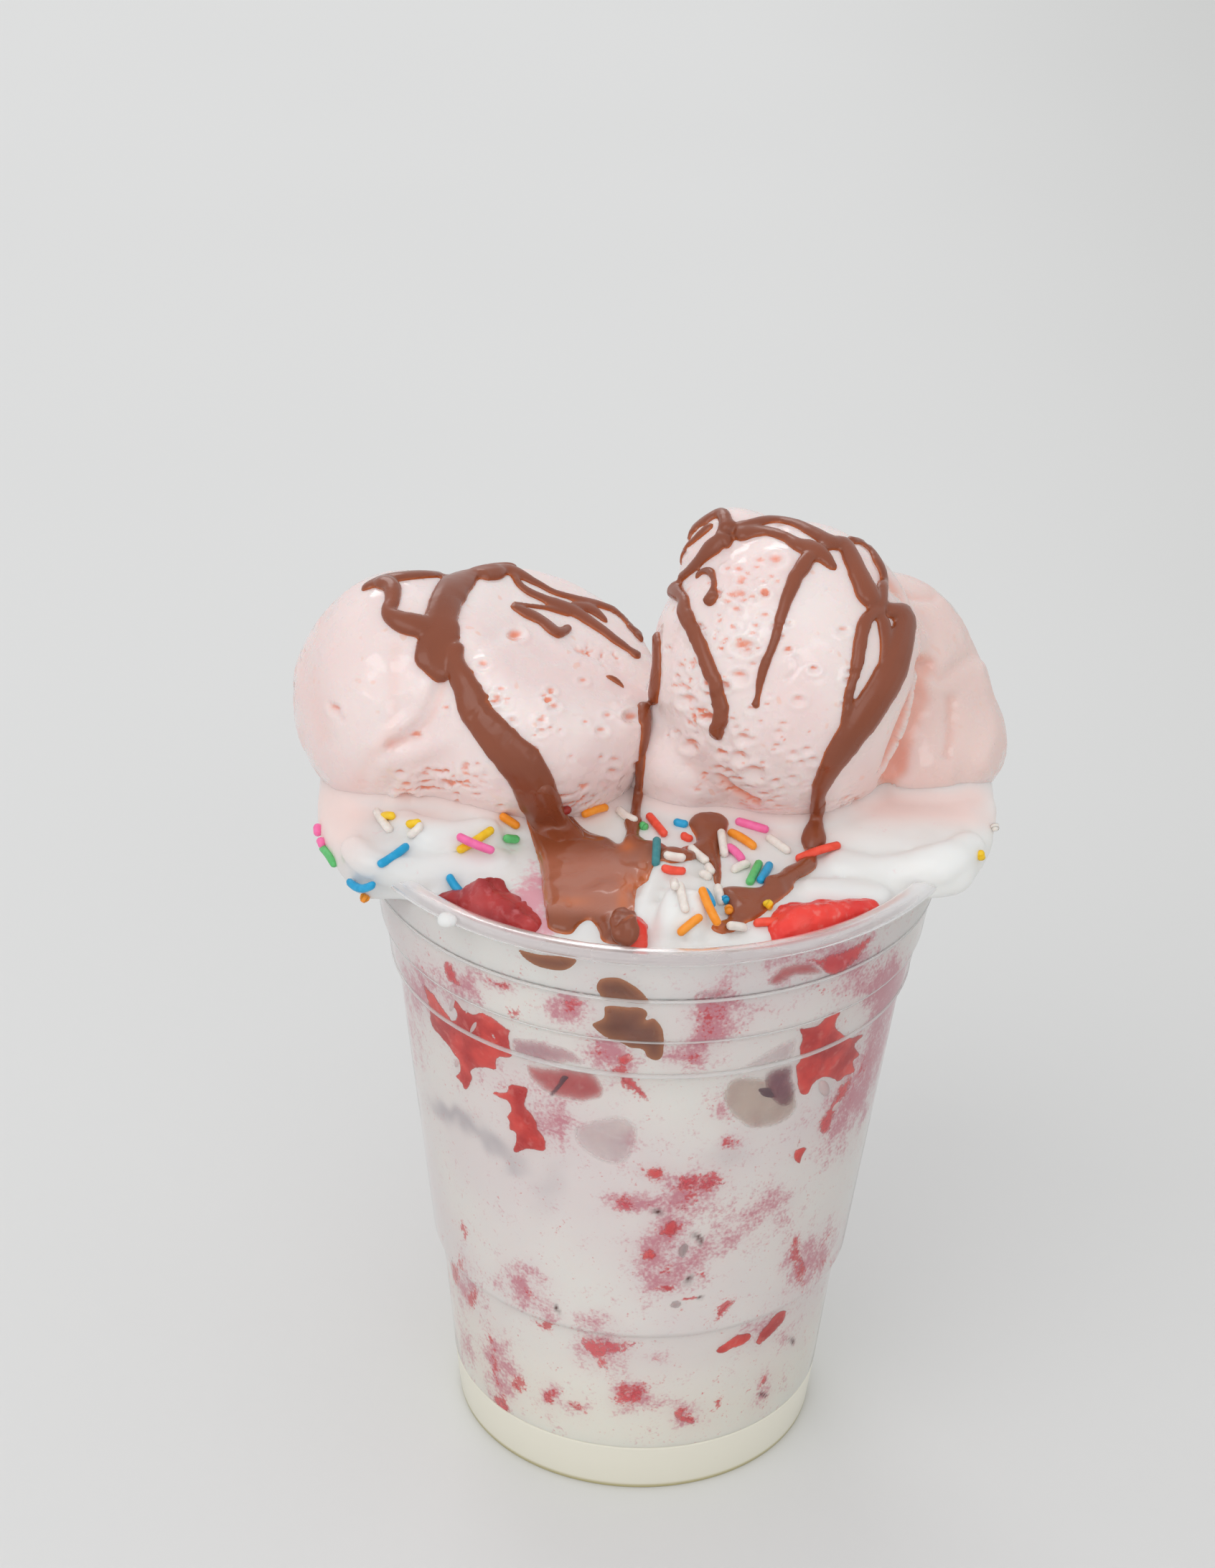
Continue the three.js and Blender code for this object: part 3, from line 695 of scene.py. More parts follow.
leftScoop = {
    "middle": np.array([-29.0, 7.0, 127.0]),
    "lobes": [((-11.3, -1, 0.5), (17.6, 21.5, 19.5)), ((7.5, 0, 0), (22, 26, 20.5))],
    "blend": 2.0,
    "backPits": 160,
    "facets": [((0.46, -0.1, 0.9), 16.0)],
    "creases": [((-7, -22, 10), (-15, -20, -11), 2.2, 1.0), ((-2, -24, -9), (14, -24, -12), 2.4, 0.6)],
}
rightScoop = {
    "middle": np.array([22.0, 7.0, 132.0]),
    "lobes": [((-2, -2, 2.4), (21.6, 22, 24.2)), ((-11, 4, 17), (8.4, 9, 9.8)),
              ((12.5, 8, 0.5), (15.5, 15, 14.5)), ((18.3, 5.5, -12), (16, 15, 12)),
              ((19.5, 6.5, -3.5), (11, 11, 9)), ((-16, -3, -10.5), (13, 14, 11))],
    "blend": 2.4,
    "backPits": 160,
    "facets": [],
    "creases": [((19, -9, 4), (15, -14, -14), 2.0, 1.6), ((27, -5, 2), (27, -8, -14), 1.8, 1.0),
                ((20, 0, 13), (29, 2, 4), 2.0, 0.7)],
}
# folds, as seen from the front: places, half width, and depth of a groove or, below zero, height of a ridge
leftFolds = [
    ([(-42.4, 22.8), (-42.4, 16.5), (-42.4, 10.6), (-45.0, 6.0), (-46.6, 2.8), (-47.4, 0.0)], 2.2, 0.45),
    ([(-34.5, 17.2), (-35.9, 12.7), (-38.7, 8.9), (-42.3, 7.0)], 1.1, 0.5),
    ([(-37.0, 17.1), (-38.7, 12.6), (-42.8, 8.8), (-44.5, 7.1)], 1.5, -0.7),
    ([(-32.1, 13.7), (-33.3, 9.6), (-36.8, 6.8), (-43.1, 4.3)], 1.8, -0.6),
    ([(-30.2, 22.8), (-26.7, 25.2), (-23.2, 26.9)], 1.4, 0.35),
    ([(-52.7, 13.6), (-50.6, 11.0)], 0.5, 0.4),
    ([(-55.3, 26.4), (-56.8, 20.5), (-55.7, 15.1), (-53.6, 7.9)], 2.2, 0.5),
    ([(-22.9, 30.8), (-16.3, 23.8), (-8.4, 20.0), (-1.5, 15.3)], 0.8, -0.25),
]
rightFolds = [
    ([(35.0, 37.6), (39.9, 31.6), (43.1, 28.5), (42.1, 22.8)], 1.3, 0.45),
    ([(42.3, 23.4), (41.4, 17.9), (38.9, 10.4), (36.7, 3.8), (35.2, -0.3)], 1.3, 1.3),
    ([(41.7, 17.5), (40.2, 13.7), (38.9, 9.6), (38.2, 6.7)], 1.6, 1.3),
    ([(46.5, 17.6), (46.5, 12.8), (46.2, 9.1)], 1.3, 0.8),
    ([(43.3, 23.2), (44.8, 21.2), (47.3, 23.4), (48.9, 24.7)], 1.1, 0.5),
    ([(9.8, 4.0), (12.4, 1.7), (16.1, 0.2)], 0.6, 0.7),
    ([(4.9, 5.9), (9.5, 2.0), (17.4, -1.2), (24.7, -1.9)], 1.5, 0.4),
    ([(35.4, 36.8), (38.8, 34.5), (42.9, 34.2)], 1.0, 0.6),
    ([(19.2, 24.1), (20.9, 23.6), (21.6, 22.0), (20.2, 20.1)], 0.5, 0.3),
    ([(51.0, 23.1), (52.4, 18.3), (53.0, 12.6), (52.0, 7.7)], 1.6, -0.6),
    ([(18.3, -3.4), (24.8, -3.8), (32.9, -2.0), (41.0, -1.7)], 0.7, 0.5),
    ([(41.3, 0.3), (46.6, -0.1), (43.4, -1.6)], 1.2, 2.2),
]
# pits: across, up and size of the big ones, then patches that are strewn with small ones
leftPits = {
    "big": [(-51.8, 12.5, 1.0), (-28.3, 20.4, 1.0), (-25.9, 15.2, 1.0), (-17.3, 10.8, 0.6),
            (-4.3, 13.0, 1.3), (-38.5, 8.7, 0.8), (-39.7, -1.7, 1.6), (-23.1, 25.6, 1.2),
            (-18.4, 15.8, 0.6)],
    "patches": [((-22, 14, 10, 7), 26), ((-34, 2, 10, 4), 22), ((-8, 6, 6, 6), 8)],
}
rightPits = {
    "big": [(13.1, 24.9, 1.7), (12.3, 20.0, 1.4), (10.3, 18.7, 1.0), (4.9, 21.8, 0.9), (12.0, 33.0, 1.3),
            (16.0, 33.4, 0.8), (17.5, 38.9, 1.4), (7.9, 13.3, 1.2), (4.3, 16.0, 1.3), (15.3, 5.0, 1.5),
            (13.0, 7.4, 1.3), (5.2, 8.7, 1.2), (22.0, 16.7, 1.0), (13.7, 10.3, 1.1), (21.6, 4.3, 0.8)],
    "patches": [((12, 32, 8, 9), 46), ((7, 19, 6, 9), 46), ((15, 8, 10, 6), 40), ((24, 22, 8, 14), 14)],
}


def lobeField(scoop, points):
    field = np.full(len(points), 100.0)
    for middle, half in scoop["lobes"]:
        away = np.linalg.norm((points - middle) / np.array(half), axis=1) - 1
        away *= min(half)
        overlap = np.maximum(scoop["blend"] - np.abs(field - away), 0) / scoop["blend"]
        field = np.minimum(field, away) - overlap**2 * scoop["blend"] / 4
    return field


# how far the ice cream reaches from the scoop's middle
def scoopReach(scoop, ways):
    outer = np.full(len(ways), 48.0)
    for _ in range(23):
        beyond = (lobeField(scoop, ways * outer[:, None]) > 0) & (outer > 4)
        outer = np.where(beyond, outer - 2, outer)
    inner, outer = outer, outer + 2
    for _ in range(12):
        half = (inner + outer) / 2
        beyond = lobeField(scoop, ways * half[:, None]) > 0
        inner, outer = np.where(beyond, inner, half), np.where(beyond, half, outer)
    reach = inner
    for towards, limit in scoop["facets"]:
        slope = ways @ (np.array(towards) / np.linalg.norm(towards))
        plane = np.where(slope > 0.05, limit / np.maximum(slope, 0.05), 1e3)
        overlap = np.maximum(2.5 - np.abs(reach - plane), 0) / 2.5
        reach = np.minimum(reach, plane) - overlap**2 * 2.5 / 4
    spots = ways * reach[:, None]
    for start, end, width, depth in scoop["creases"]:
        away = distanceToLine(spots, np.array([start, end], float))
        reach = reach - depth * np.exp(-((away / width) ** 2))
    return reach


def roundCorners(level):
    bpy.ops.mesh.primitive_ico_sphere_add(subdivisions=level, radius=1)
    ball = bpy.context.active_object
    flat = np.empty(len(ball.data.vertices) * 3, np.float32)
    ball.data.vertices.foreach_get("co", flat)
    faces = [list(face.vertices) for face in ball.data.polygons]
    thrownAway(ball)
    ways = flat.reshape(-1, 3).astype(float)
    return ways / np.linalg.norm(ways, axis=1)[:, None], faces


def scoopPiece(name, scoop, folds, pits, tornPlaces, seed):
    ways, faces = roundCorners(7 if coarse == 1 else 6)
    reach = scoopReach(scoop, ways)
    piece = pieceFrom(name, ways * reach[:, None] + scoop["middle"], faces)
    remeshed(piece, 0.46, 4)
    points, normals = cornersOf(piece), normalsOf(piece)
    eye = frontEye - points
    facing = blend(0.02, 0.2, np.einsum("ij,ij->i", normals, eye) / np.linalg.norm(eye, axis=1))
    seen = inView(points)
    depth = 0.45 * layeredNoise(points, 16, 3, seed) + 0.14 * layeredNoise(points, 4, 3, seed + 5)
    # cavityShade is painted shade: where it is high the finish turns orange in grooves, scratches and pits
    cavityShade = np.zeros(len(points))
    for places, width, deep in folds:
        line = smoothPath(places, 0.8)
        groove = deep * np.exp(-((distanceToLine(seen, line) / width) ** 2)) * facing
        depth = depth - groove
        cavityShade += np.maximum(groove, 0) * 0.55
    torn = np.zeros(len(points))
    for middle, size in tornPlaces:
        torn = np.maximum(torn, np.exp(-(((seen - middle) / size) ** 2).sum(1) * 1.4) * facing)
    behind = 1 - facing
    torn = np.maximum(torn, 0.6 * behind * blend(0.1, 0.5, softNoise(points, 14, seed + 3)))
    # torn ice cream is drawn out into short, shallow scratches along the way the scoop went
    drawn = points @ np.array([[0.16, 0.05, 0.35], [0, 0.3, 0], [-0.3, 0, 0.75]]).T
    scratch = layeredNoise(drawn * 3, 1.6, 3, seed + 7)
    scratch = np.maximum(scratch - 0.12, 0) * torn
    depth -= 1.3 * scratch
    # painted shade along the scratches
    cavityShade += 1.9 * scratch
    # pits, deeper under their upper edge, with painted shade laid under that edge
    draws = np.random.default_rng(seed)
    holes = [(x, y, size, 0.75) for x, y, size in pits["big"]]
    for (x, y, wide, high), count in pits["patches"]:
        spread = draws.normal(0, 0.55, (count, 2)) * (wide, high) + (x, y)
        holes += [(px, py, size, 0.5) for (px, py), size in zip(spread, draws.uniform(0.35, 0.95, count))]
    for x, y, size, deep in holes:
        near = np.nonzero((np.abs(seen - (x, y)) < 3 * size).all(1) & (facing > 0))[0]
        offset = (seen[near] - (x, y)) / (1.35 * size, size)
        away = np.linalg.norm(offset, axis=1)
        bowl = np.clip(1 - away**2, 0, 1) ** 1.5 * (0.65 + 0.55 * np.clip(offset[:, 1], -1, 1))
        lip = np.exp(-((away - 1.15) / 0.3) ** 2) * 0.18
        depth[near] += (lip - deep * bowl) * size * facing[near]
        cavityShade[near] += 1.5 * bowl * np.clip(offset[:, 1] + 0.15, 0, 0.7) * facing[near]
    backHoles = draws.normal(0, 1, (scoop["backPits"], 3))
    backHoles = backHoles / np.linalg.norm(backHoles, axis=1)[:, None]
    backHoles = backHoles[backHoles[:, 1] > 0.15]
    apart = points - scoop["middle"]
    apart /= np.linalg.norm(apart, axis=1)[:, None]
    for way in backHoles:
        size = draws.uniform(0.5, 1.3)
        away = np.linalg.norm((apart - way) * 24 / size * (0.8, 0.8, 1), axis=1)
        bowl = np.clip(1 - away**2, 0, 1) ** 1.5 * behind
        depth -= 0.5 * size * bowl
        cavityShade += 0.6 * bowl
    moveCorners(piece, points + normals * depth[:, None])
    setField(piece, "cavityShade", np.clip(cavityShade, 0, 1))
    # paler towards the bottom: melted ice cream, and painted light that lifts the shade where the scoop
    # meets the cream
    low = blend(8, 0, points[:, 2] - 112 + 1.5 * layeredNoise(points, 6, 2, seed + 9))
    setField(piece, "melt", low)
    return piece


def iceCream():
    material, tree, shader = newFinish(
        "strawberryIceCream", Subsurface_Weight=0.35, Subsurface_Scale=0.0022,
        Subsurface_Radius=(1.0, 0.5, 0.36), Specular_IOR_Level=0.45, Coat_Roughness=0.07)
    pink = clouded(tree, paint(247, 232, 229), paint(244, 222, 219), 55.0, 0.16)
    freckles = placeGroup(tree, blotches, Scale=420.0, Share=0.26, Soft=0.035, Detail=1.0)
    freckled = mathNode(tree, "MULTIPLY", freckles.outputs["Mask"], 0.4)
    pink = mixColour(tree, freckled, pink, paint(244, 186, 160))
    # painted shade: orange in the grooves, scratches and pits
    hollowShade = smoothStep(tree, fieldOf(tree, "cavityShade"), 0.12, 0.7, 0.8)
    pink = mixColour(tree, hollowShade, pink, paint(249, 132, 82))
    # melted ice cream at the bottom, and painted light over the shade where the scoop meets the cream
    melted = mathNode(tree, "MULTIPLY", fieldOf(tree, "melt"), 0.6)
    pink = mixColour(tree, melted, pink, paint(246, 231, 226))
    # the flanks are painted darker and of a deeper pink: painted shade
    across = placeOf(tree, "X")
    pink = mixColour(tree, smoothStep(tree, across, 0.022, 0.046, 0.7), pink, paint(233, 203, 194))
    pink = mixColour(tree, smoothStep(tree, across, -0.034, -0.056, 0.6), pink, paint(238, 212, 208))
    tree.links.new(pink, shader.inputs["Base Color"])
    addSkin(tree, shader, 0.46, 0.1, 260.0, 1300.0, film=0.9, strength=0.2)
    return material


iceCreamFinish = iceCream()
scoopLeft = scoopPiece("scoopLeft", leftScoop, leftFolds, leftPits,
                       [((-34, 0.5), (9, 4)), ((-12, 0), (6, 3)), ((-10, 23), (5, 2))], 31)
scoopRight = scoopPiece("scoopRight", rightScoop, rightFolds, rightPits,
                        [((14, 2), (9, 4)), ((6, 12), (3, 8)), ((33, 0), (6, 3))], 47)
finishPiece(scoopLeft, iceCreamFinish, "ice_cream", "scoop_left")
finishPiece(scoopRight, iceCreamFinish, "ice_cream", "scoop_right")
print("scoops made")


# Whipped cream that swells over the rim

cream = {
    "bottom": 103.9,
    "top": 116.5,
    "reach": 50.2,
    "sideReach": 54.0,
    "sides": 300,
    "petal": ((4.2, -37.4, 111.6), (5.2, 4.0, 5.6)),
    # flutes of the curl at the front: across, up and half width as seen
    "flutes": [[(-1.6, -22.4, 1.8), (-1.4, -19, 2.1), (-0.2, -15, 2.1), (1.5, -11, 1.8), (3.2, -8, 1.3)],
               [(2.4, -22.9, 1.9), (2.9, -19, 2.0), (3.8, -15, 1.9), (4.8, -11, 1.6), (5.1, -8, 1.1)],
               [(6.4, -22.9, 1.9), (6.6, -19.5, 2.0), (6.8, -15.5, 1.8), (6.6, -12, 1.3)],
               [(10.2, -22.3, 1.6), (10, -19.5, 1.7), (9.4, -16.6, 1.3)]],
    # soft swells left and right of it
    "swells": [[(-49, -8.5, 2.2), (-44.5, -12.4, 2.8), (-36, -13.2, 2.6), (-28, -11.6, 2.2),
                (-23, -9.6, 1.6)],
               [(-42, -4.8, 1.8), (-33, -7.0, 2.2), (-24, -6.6, 1.6)],
               [(27, -8.5, 1.8), (35, -10, 2.6), (44, -8.6, 2.8), (51.5, -4.5, 2.2)],
               [(23, -13.4, 1.5), (30, -13.2, 1.8), (38, -13.9, 1.6)]],
}


# radius and height from the middle of the underside to the middle of the top, at one angle
def creamSection(angle):
    front = math.radians(-86)
    turn = abs((angle - front + math.pi) % (2 * math.pi) - math.pi)
    over = float(blend(0.9, 1.12, turn))
    reach = cream["reach"] + (cream["sideReach"] - cream["reach"]) * abs(math.cos(angle)) ** 1.5
    wave = math.sin(5 * angle + 0.6) * over
    bottom = cream["bottom"]
    plug = wallRadius(bottom) - 1.3
    edge = wallRadius(110) - cup["wall"] / 2
    inside = [(plug + 0.8, 109), (edge, 110.3), (44.9, 111.4), (43.4, 112.1), (40.5, 112.6),
              (36.5, 113.4), (28, 114.4), (15, 115.6)]
    droop = 2 * float(blend(0.2, 0.8, -math.cos(angle)))
    hanging = [(plug + 0.8, 108.6), (49.2, 110.4 - droop), (reach - 2.4, 109.9 - droop),
               (reach - 0.3, 112 - droop / 2), (reach - 0.3, 114.4), (reach - 3.8, 116.8), (36, 117.4),
               (18, cream["top"])]
    side = []
    for i, ((r0, z0), (r1, z1)) in enumerate(zip(inside, hanging)):
        radius = r0 + (r1 - r0) * over + (0.5 * wave if 1 < i < 6 else 0)
        side.append((radius, z0 + (z1 - z0) * over + (0.6 * wave if i > 1 else 0)))
    return [(0, bottom), (30, bottom), (plug, bottom)] + side + [(0, cream["top"])]


def makeCream():
    rings = []
    for k in range(cream["sides"]):
        angle = 2 * math.pi * k / cream["sides"]
        profile = rounded(creamSection(angle), 1.6, 4)
        rings.append([(r * math.cos(angle), r * math.sin(angle), z) for r, z in profile[1:-1]])
    rows = len(rings[0])
    sides = len(rings)
    points = [(0, 0, cream["bottom"])] + [p for ring in rings for p in ring] + [(0, 0, cream["top"])]
    faces = []
    for k in range(sides):
        a, b = 1 + k * rows, 1 + (k + 1) % sides * rows
        faces.append([0, b, a])
        faces += [[a + i, b + i, b + i + 1, a + i + 1] for i in range(rows - 1)]
        faces.append([a + rows - 1, b + rows - 1, 1 + sides * rows])
    ring = pieceFrom("creamRing", points, faces)
    (px, py, pz), (hx, hy, hz) = cream["petal"]
    ways, faces = roundCorners(5)
    ridge = 1 + 0.08 * np.cos(3 * np.arctan2(ways[:, 0], -ways[:, 1]))
    petal = np.c_[px + hx * ways[:, 0] * ridge + 0.8 * ways[:, 2], py + hy * ways[:, 1] * ridge,
                  pz + hz * ways[:, 2]]
    curl = pieceFrom("petal", petal, faces)
    under = resting(ring, curl)
    flutes = strands(under, cream["flutes"], 90, rise=3.4) + strands(under, cream["swells"], 95, rise=1.7)
    piece = joined("whippedCream", [ring, curl] + flutes)
    remeshed(piece, 0.62, 7)
    points, normals = cornersOf(piece), normalsOf(piece)
    free = blend(108, 111, points[:, 2])
    folds = 0.8 * layeredNoise(points * (1, 1, 1.6), 13, 2, 61) + 0.35 * layeredNoise(points, 5.5, 2, 67)
    # against the wall it stays where the plastic holds it
    radius = np.hypot(points[:, 0], points[:, 1])
    held = np.where((points[:, 2] < 113.5) & (radius < 49.5), blend(2.5, 0.6, np.abs(radius - 45.4)), 0)
    moved = points + normals * (folds * free * (1 - held))[:, None]
    # it is drawn up where the scoops have melted into it
    scoops = resting(scoopLeft, scoopRight)
    gap = np.array([scoops["tree"].find_nearest(Vector(p))[3] if p[2] > 112.5 else 9 for p in moved])
    leftward = blend(-6, -20, moved[:, 0])
    meniscus = np.clip(1 - gap / (3.2 + 1.6 * leftward), 0, 1) ** 2 * (1.7 + 1.3 * leftward)
    moved[:, 2] += meniscus * free
    moveCorners(piece, moved)
    setField(piece, "gap", gap)
    return piece


def creamFinish():
    material, tree, shader = newFinish(
        "whippedCream", Subsurface_Weight=0.35, Subsurface_Scale=0.004, Subsurface_Radius=(1.0, 0.9, 0.8),
        Specular_IOR_Level=0.4, Coat_Roughness=0.15)
    white = clouded(tree, paint(240, 240, 238), paint(234, 233, 229), 60.0, share=0.45)
    # the swells at the left are painted greyer: painted shade
    left = smoothStep(tree, placeOf(tree, "X"), -0.026, -0.046)
    white = mixColour(tree, left, white, paint(222, 222, 221))
    stain = raggedField(tree, "stain", Low=0.2, High=0.75, Cloud_Scale=260.0, Cloud=1.3,
                        Grain_Scale=1200.0, Grain=0.8)
    stained = mathNode(tree, "MULTIPLY", stain, 0.85, clamp=True)
    white = mixColour(tree, stained, white, paint(231, 152, 168))
    white = mixColour(tree, fieldOf(tree, "melt"), white, paint(245, 222, 216))
    tree.links.new(white, shader.inputs["Base Color"])
    addSkin(tree, shader, 0.5, 0.3, 110.0, 900.0, film=0.2, strength=0.15, distance=0.0003)
    return material


def spotted(seen, spots):
    return sum(strength * np.exp(-(((seen - middle) / size) ** 2).sum(1))
               for middle, size, strength in spots)


# pink juice and melted ice cream on it: places as seen, sizes and strengths
stainSpots = [
    ((-19.5, -16.5), (3.2, 4.5), 0.9), ((-16.6, -20.8), (2.2, 2.0), 0.6),
    ((-17.6, -14.2), (1.6, 2.4), 0.3), ((-5.5, -21.5), (2, 2), 0.5),
]
meltSpots = [
    ((-51.5, -4.5), (6, 7), 1.3), ((-38, -3.5), (8, 1.5), 0.6), ((50, -1), (8, 1.8), 0.7),
    ((20, -4.4), (12, 1.3), 0.5), ((36, 0.2), (6, 2.6), 0.9), ((44, 1.6), (6, 2.2), 1.2),
    ((50.5, 3.0), (3, 2.4), 0.8),
]
whippedCream = makeCream()
creamPoints = cornersOf(whippedCream)
creamSeen = inView(creamPoints)
setField(whippedCream, "stain", spotted(creamSeen, stainSpots) * (creamPoints[:, 1] < 0))
melt = spotted(creamSeen, meltSpots)
melted = blend(3.0, 0.7, fieldValues(whippedCream, "gap")) * blend(36, 22, creamSeen[:, 0]) * 0.9
setField(whippedCream, "melt", np.maximum(np.clip(melt, 0, 1) * (creamPoints[:, 1] < 10), melted))
creamyWhite = creamFinish()
finishPiece(whippedCream, creamyWhite, "whipped_cream", "whipped_cream")
print("whipped cream made")


# Chocolate

# across, up and half width of every strand, in millimetres as they are seen
leftStrands = [
    [(-48.2, 31.7, 0.7), (-44.2, 33.4, 1.0), (-38.8, 34.3, 0.9), (-33, 34.5, 0.8), (-28, 35.4, 1.2),
     (-24.9, 35.7, 1.1), (-20.5, 33.9, 0.6), (-17, 32.3, 0.5), (-10.2, 30.7, 0.65), (-4.7, 29, 0.5),
     (-0.8, 26.2, 0.9)],
    [(-45.6, 33, 1.4), (-43.4, 32.3, 1.5), (-43.1, 30, 1.2), (-43.6, 28.2, 1.3), (-41.7, 26.9, 1.6),
     (-38.5, 26.1, 1.8), (-36, 25.5, 2.0)],
    [(-25.5, 35.6, 1.2), (-29.5, 34.8, 2.2), (-32.9, 33.1, 2.7), (-35, 29, 2.7), (-35.3, 24.9, 3.3),
     (-35.6, 21.7, 3.6), (-35.5, 19.2, 3.2), (-35.9, 17.6, 2.3)],
    [(-33.6, 24, 2.4), (-32.7, 20.5, 1.7), (-30.4, 16, 2.3), (-28.8, 12.5, 2.5), (-25.2, 8.6, 2.9),
     (-21.4, 4.6, 3.4), (-18.5, 0.2, 3.0), (-17.7, -1.8, 2.0)],
    [(-24.6, 35.7, 0.7), (-22.5, 33, 0.6), (-18.8, 31.2, 0.7), (-14.7, 29.7, 1.0), (-11, 27.6, 0.8),
     (-6.8, 24.8, 0.65), (-4.6, 23.4, 0.6), (-3.4, 22.5, 1.3)],
    [(-15, 30.6, 0.6), (-11.5, 29.9, 0.8), (-8.7, 27.9, 0.4)],
    [(-24.4, 30.1, 0.5), (-20, 28.2, 0.9), (-16.8, 26.0, 1.0), (-14.6, 27.2, 0.7)],
    [(-24.2, 30.4, 0.4), (-18.7, 29.9, 0.45), (-14.6, 29.0, 0.6)],
    [(-8.9, 19.6, 0.25), (-7.2, 18.9, 0.45), (-5.6, 17.6, 0.2)],
]
# little scallops along the right edge of the broad run: across and up
scallops = [
    (-29.7, 19.5), (-28.3, 17.4), (-27.0, 15.7), (-26.5, 14.2), (-25.6, 12.2), (-24.5, 10.4),
    (-23.0, 9.3), (-21.7, 7.8), (-20.3, 6.7), (-19.0, 5.0), (-17.9, 3.5), (-16.7, 1.9), (-15.9, 0.4),
]
hollowStrands = [
    [(-0.8, 26.6, 0.9), (-0.5, 22.6, 0.9), (-0.7, 18.5, 1.0), (-0.9, 15.2, 1.3)],
    [(-2.6, 15.4, 1.2), (-2.2, 11.3, 0.9), (-2.6, 6.7, 0.8), (-2.7, 0.9, 0.6), (-2.9, -1.6, 0.9),
     (-3.4, -3.3, 1.2)],
]
rightStrands = [
    [(2.9, 42.3, 0.5), (4.6, 43.6, 0.7), (7, 45.3, 0.8), (8.8, 46, 1.0), (9.4, 44.2, 1.3),
     (10, 42.7, 1.8)],
    [(7.4, 44.4, 0.5), (4.9, 42, 0.5), (3.2, 40.2, 0.4), (2.4, 37.6, 0.3)],
    [(10.4, 42.6, 1.8), (7.2, 40.2, 1.2), (4.5, 37.2, 0.8), (2.4, 35.3, 0.8)],
    [(1.1, 34.9, 0.9), (1.7, 33.6, 1.5), (3.2, 32.1, 1.0), (3.6, 29.9, 1.3), (5.7, 25.9, 1.1),
     (7.5, 21.9, 1.2), (9.2, 17.4, 1.1), (9.8, 14.2, 1.2), (9.3, 11.6, 1.2), (9, 10.1, 1.3)],
    [(4.9, 35.4, 0.4), (5.9, 36.6, 0.5), (7.4, 36.6, 0.7), (7.9, 34.4, 0.5), (7.6, 32.4, 1.2),
     (7.5, 31.2, 1.5)],
    [(10.8, 43.2, 1.2), (13.2, 44.3, 0.9), (16.8, 45.2, 0.8), (20.5, 44.7, 0.9), (23.8, 43.2, 1.0),
     (26.3, 41.9, 1.2), (28.3, 42.2, 1.0)],
    [(10.8, 42.3, 1.5), (14, 43.3, 0.9), (17.7, 43, 0.9), (21, 41.5, 1.0), (24.3, 40.2, 1.3),
     (27.2, 37.6, 0.5)],
    [(23.3, 40.2, 1.3), (20.8, 36.2, 1.2), (19.3, 32.1, 0.9), (17.9, 26.3, 0.8), (16.1, 21, 0.7),
     (15.5, 17, 0.5), (15.1, 15.2, 0.9)],
    [(24.4, 41, 0.7), (27.9, 41.9, 1.2), (29.4, 39.8, 1.4), (30.9, 36.6, 1.5), (32.6, 33.4, 1.6),
     (33.4, 31.6, 1.1)],
    [(28.8, 42.4, 0.9), (31.6, 42, 0.6), (33.7, 39.2, 0.8), (34.6, 36.6, 0.9), (34.3, 33.4, 1.2),
     (33.6, 31.8, 1.0)],
    [(35.2, 31.6, 0.9), (32.8, 30.8, 1.0), (31.6, 28.1, 1.1), (31.1, 23.2, 0.9), (30, 18.2, 0.7),
     (29.4, 12, 0.9)],
    [(34.8, 30.9, 1.0), (35.4, 26.6, 0.9), (35.2, 22.5, 0.8)],
    [(34.9, 31.6, 0.9), (38, 31, 1.8), (38.2, 28.3, 2.1), (36.8, 22.6, 2.4), (33.6, 16.3, 2.5),
     (30.1, 10.9, 2.1), (27.3, 6.3, 1.7), (25.8, 2.2, 1.2), (25.5, -1.9, 1.0), (25.2, -5.2, 1.7)],
]
# and what runs down behind, seen from there
backLeftStrands = [
    [(21.4, 11.4, 1.0), (22.8, 8, 1.5), (23, 3.4, 1.3), (24.4, -1, 1.8)],
    [(25.5, 15.5, 1.2), (31, 16.4, 1.5), (37, 13, 1.2), (39.5, 8, 1.0), (38.5, 3, 1.3)],
    [(31, 15.4, 1.2), (30, 11, 0.9), (32, 5, 0.8), (31, -1, 1.1)],
]
backRightStrands = [
    [(-8, 21.5, 1.2), (-7, 18, 1.1), (-9, 13, 0.9), (-8, 7, 1.1), (-9.5, 0, 1.3)],
    [(-17, 22, 1.2), (-22, 20, 1.5), (-24, 15, 1.4), (-27, 9, 1.0), (-26, 2, 1.2)],
    [(-13, 22.5, 1.0), (-14, 18, 0.8), (-16, 12.5, 0.7), (-15.5, 8, 1.0)],
]
# where the runs leave the scoops for the cream
bridges = [
    [(-20.2, 2.4, 3.2), (-18.6, -0.6, 3.3), (-17.0, -3.4, 3.1), (-15.0, -6.2, 3.2), (-12.4, -8.6, 3.2)],
    [(-2.7, 2.8, 0.7), (-2.9, 0.6, 0.8), (-3.2, -2.4, 0.9), (-3.5, -3.8, 1.4), (-3.6, -5.2, 1.0),
     (-3.2, -7.6, 1.4)],
    [(26.0, 1.4, 1.1), (25.5, -2.2, 1.1), (25.3, -4.6, 1.9), (25.2, -5.8, 1.9), (24.9, -7.6, 1.0)],
]
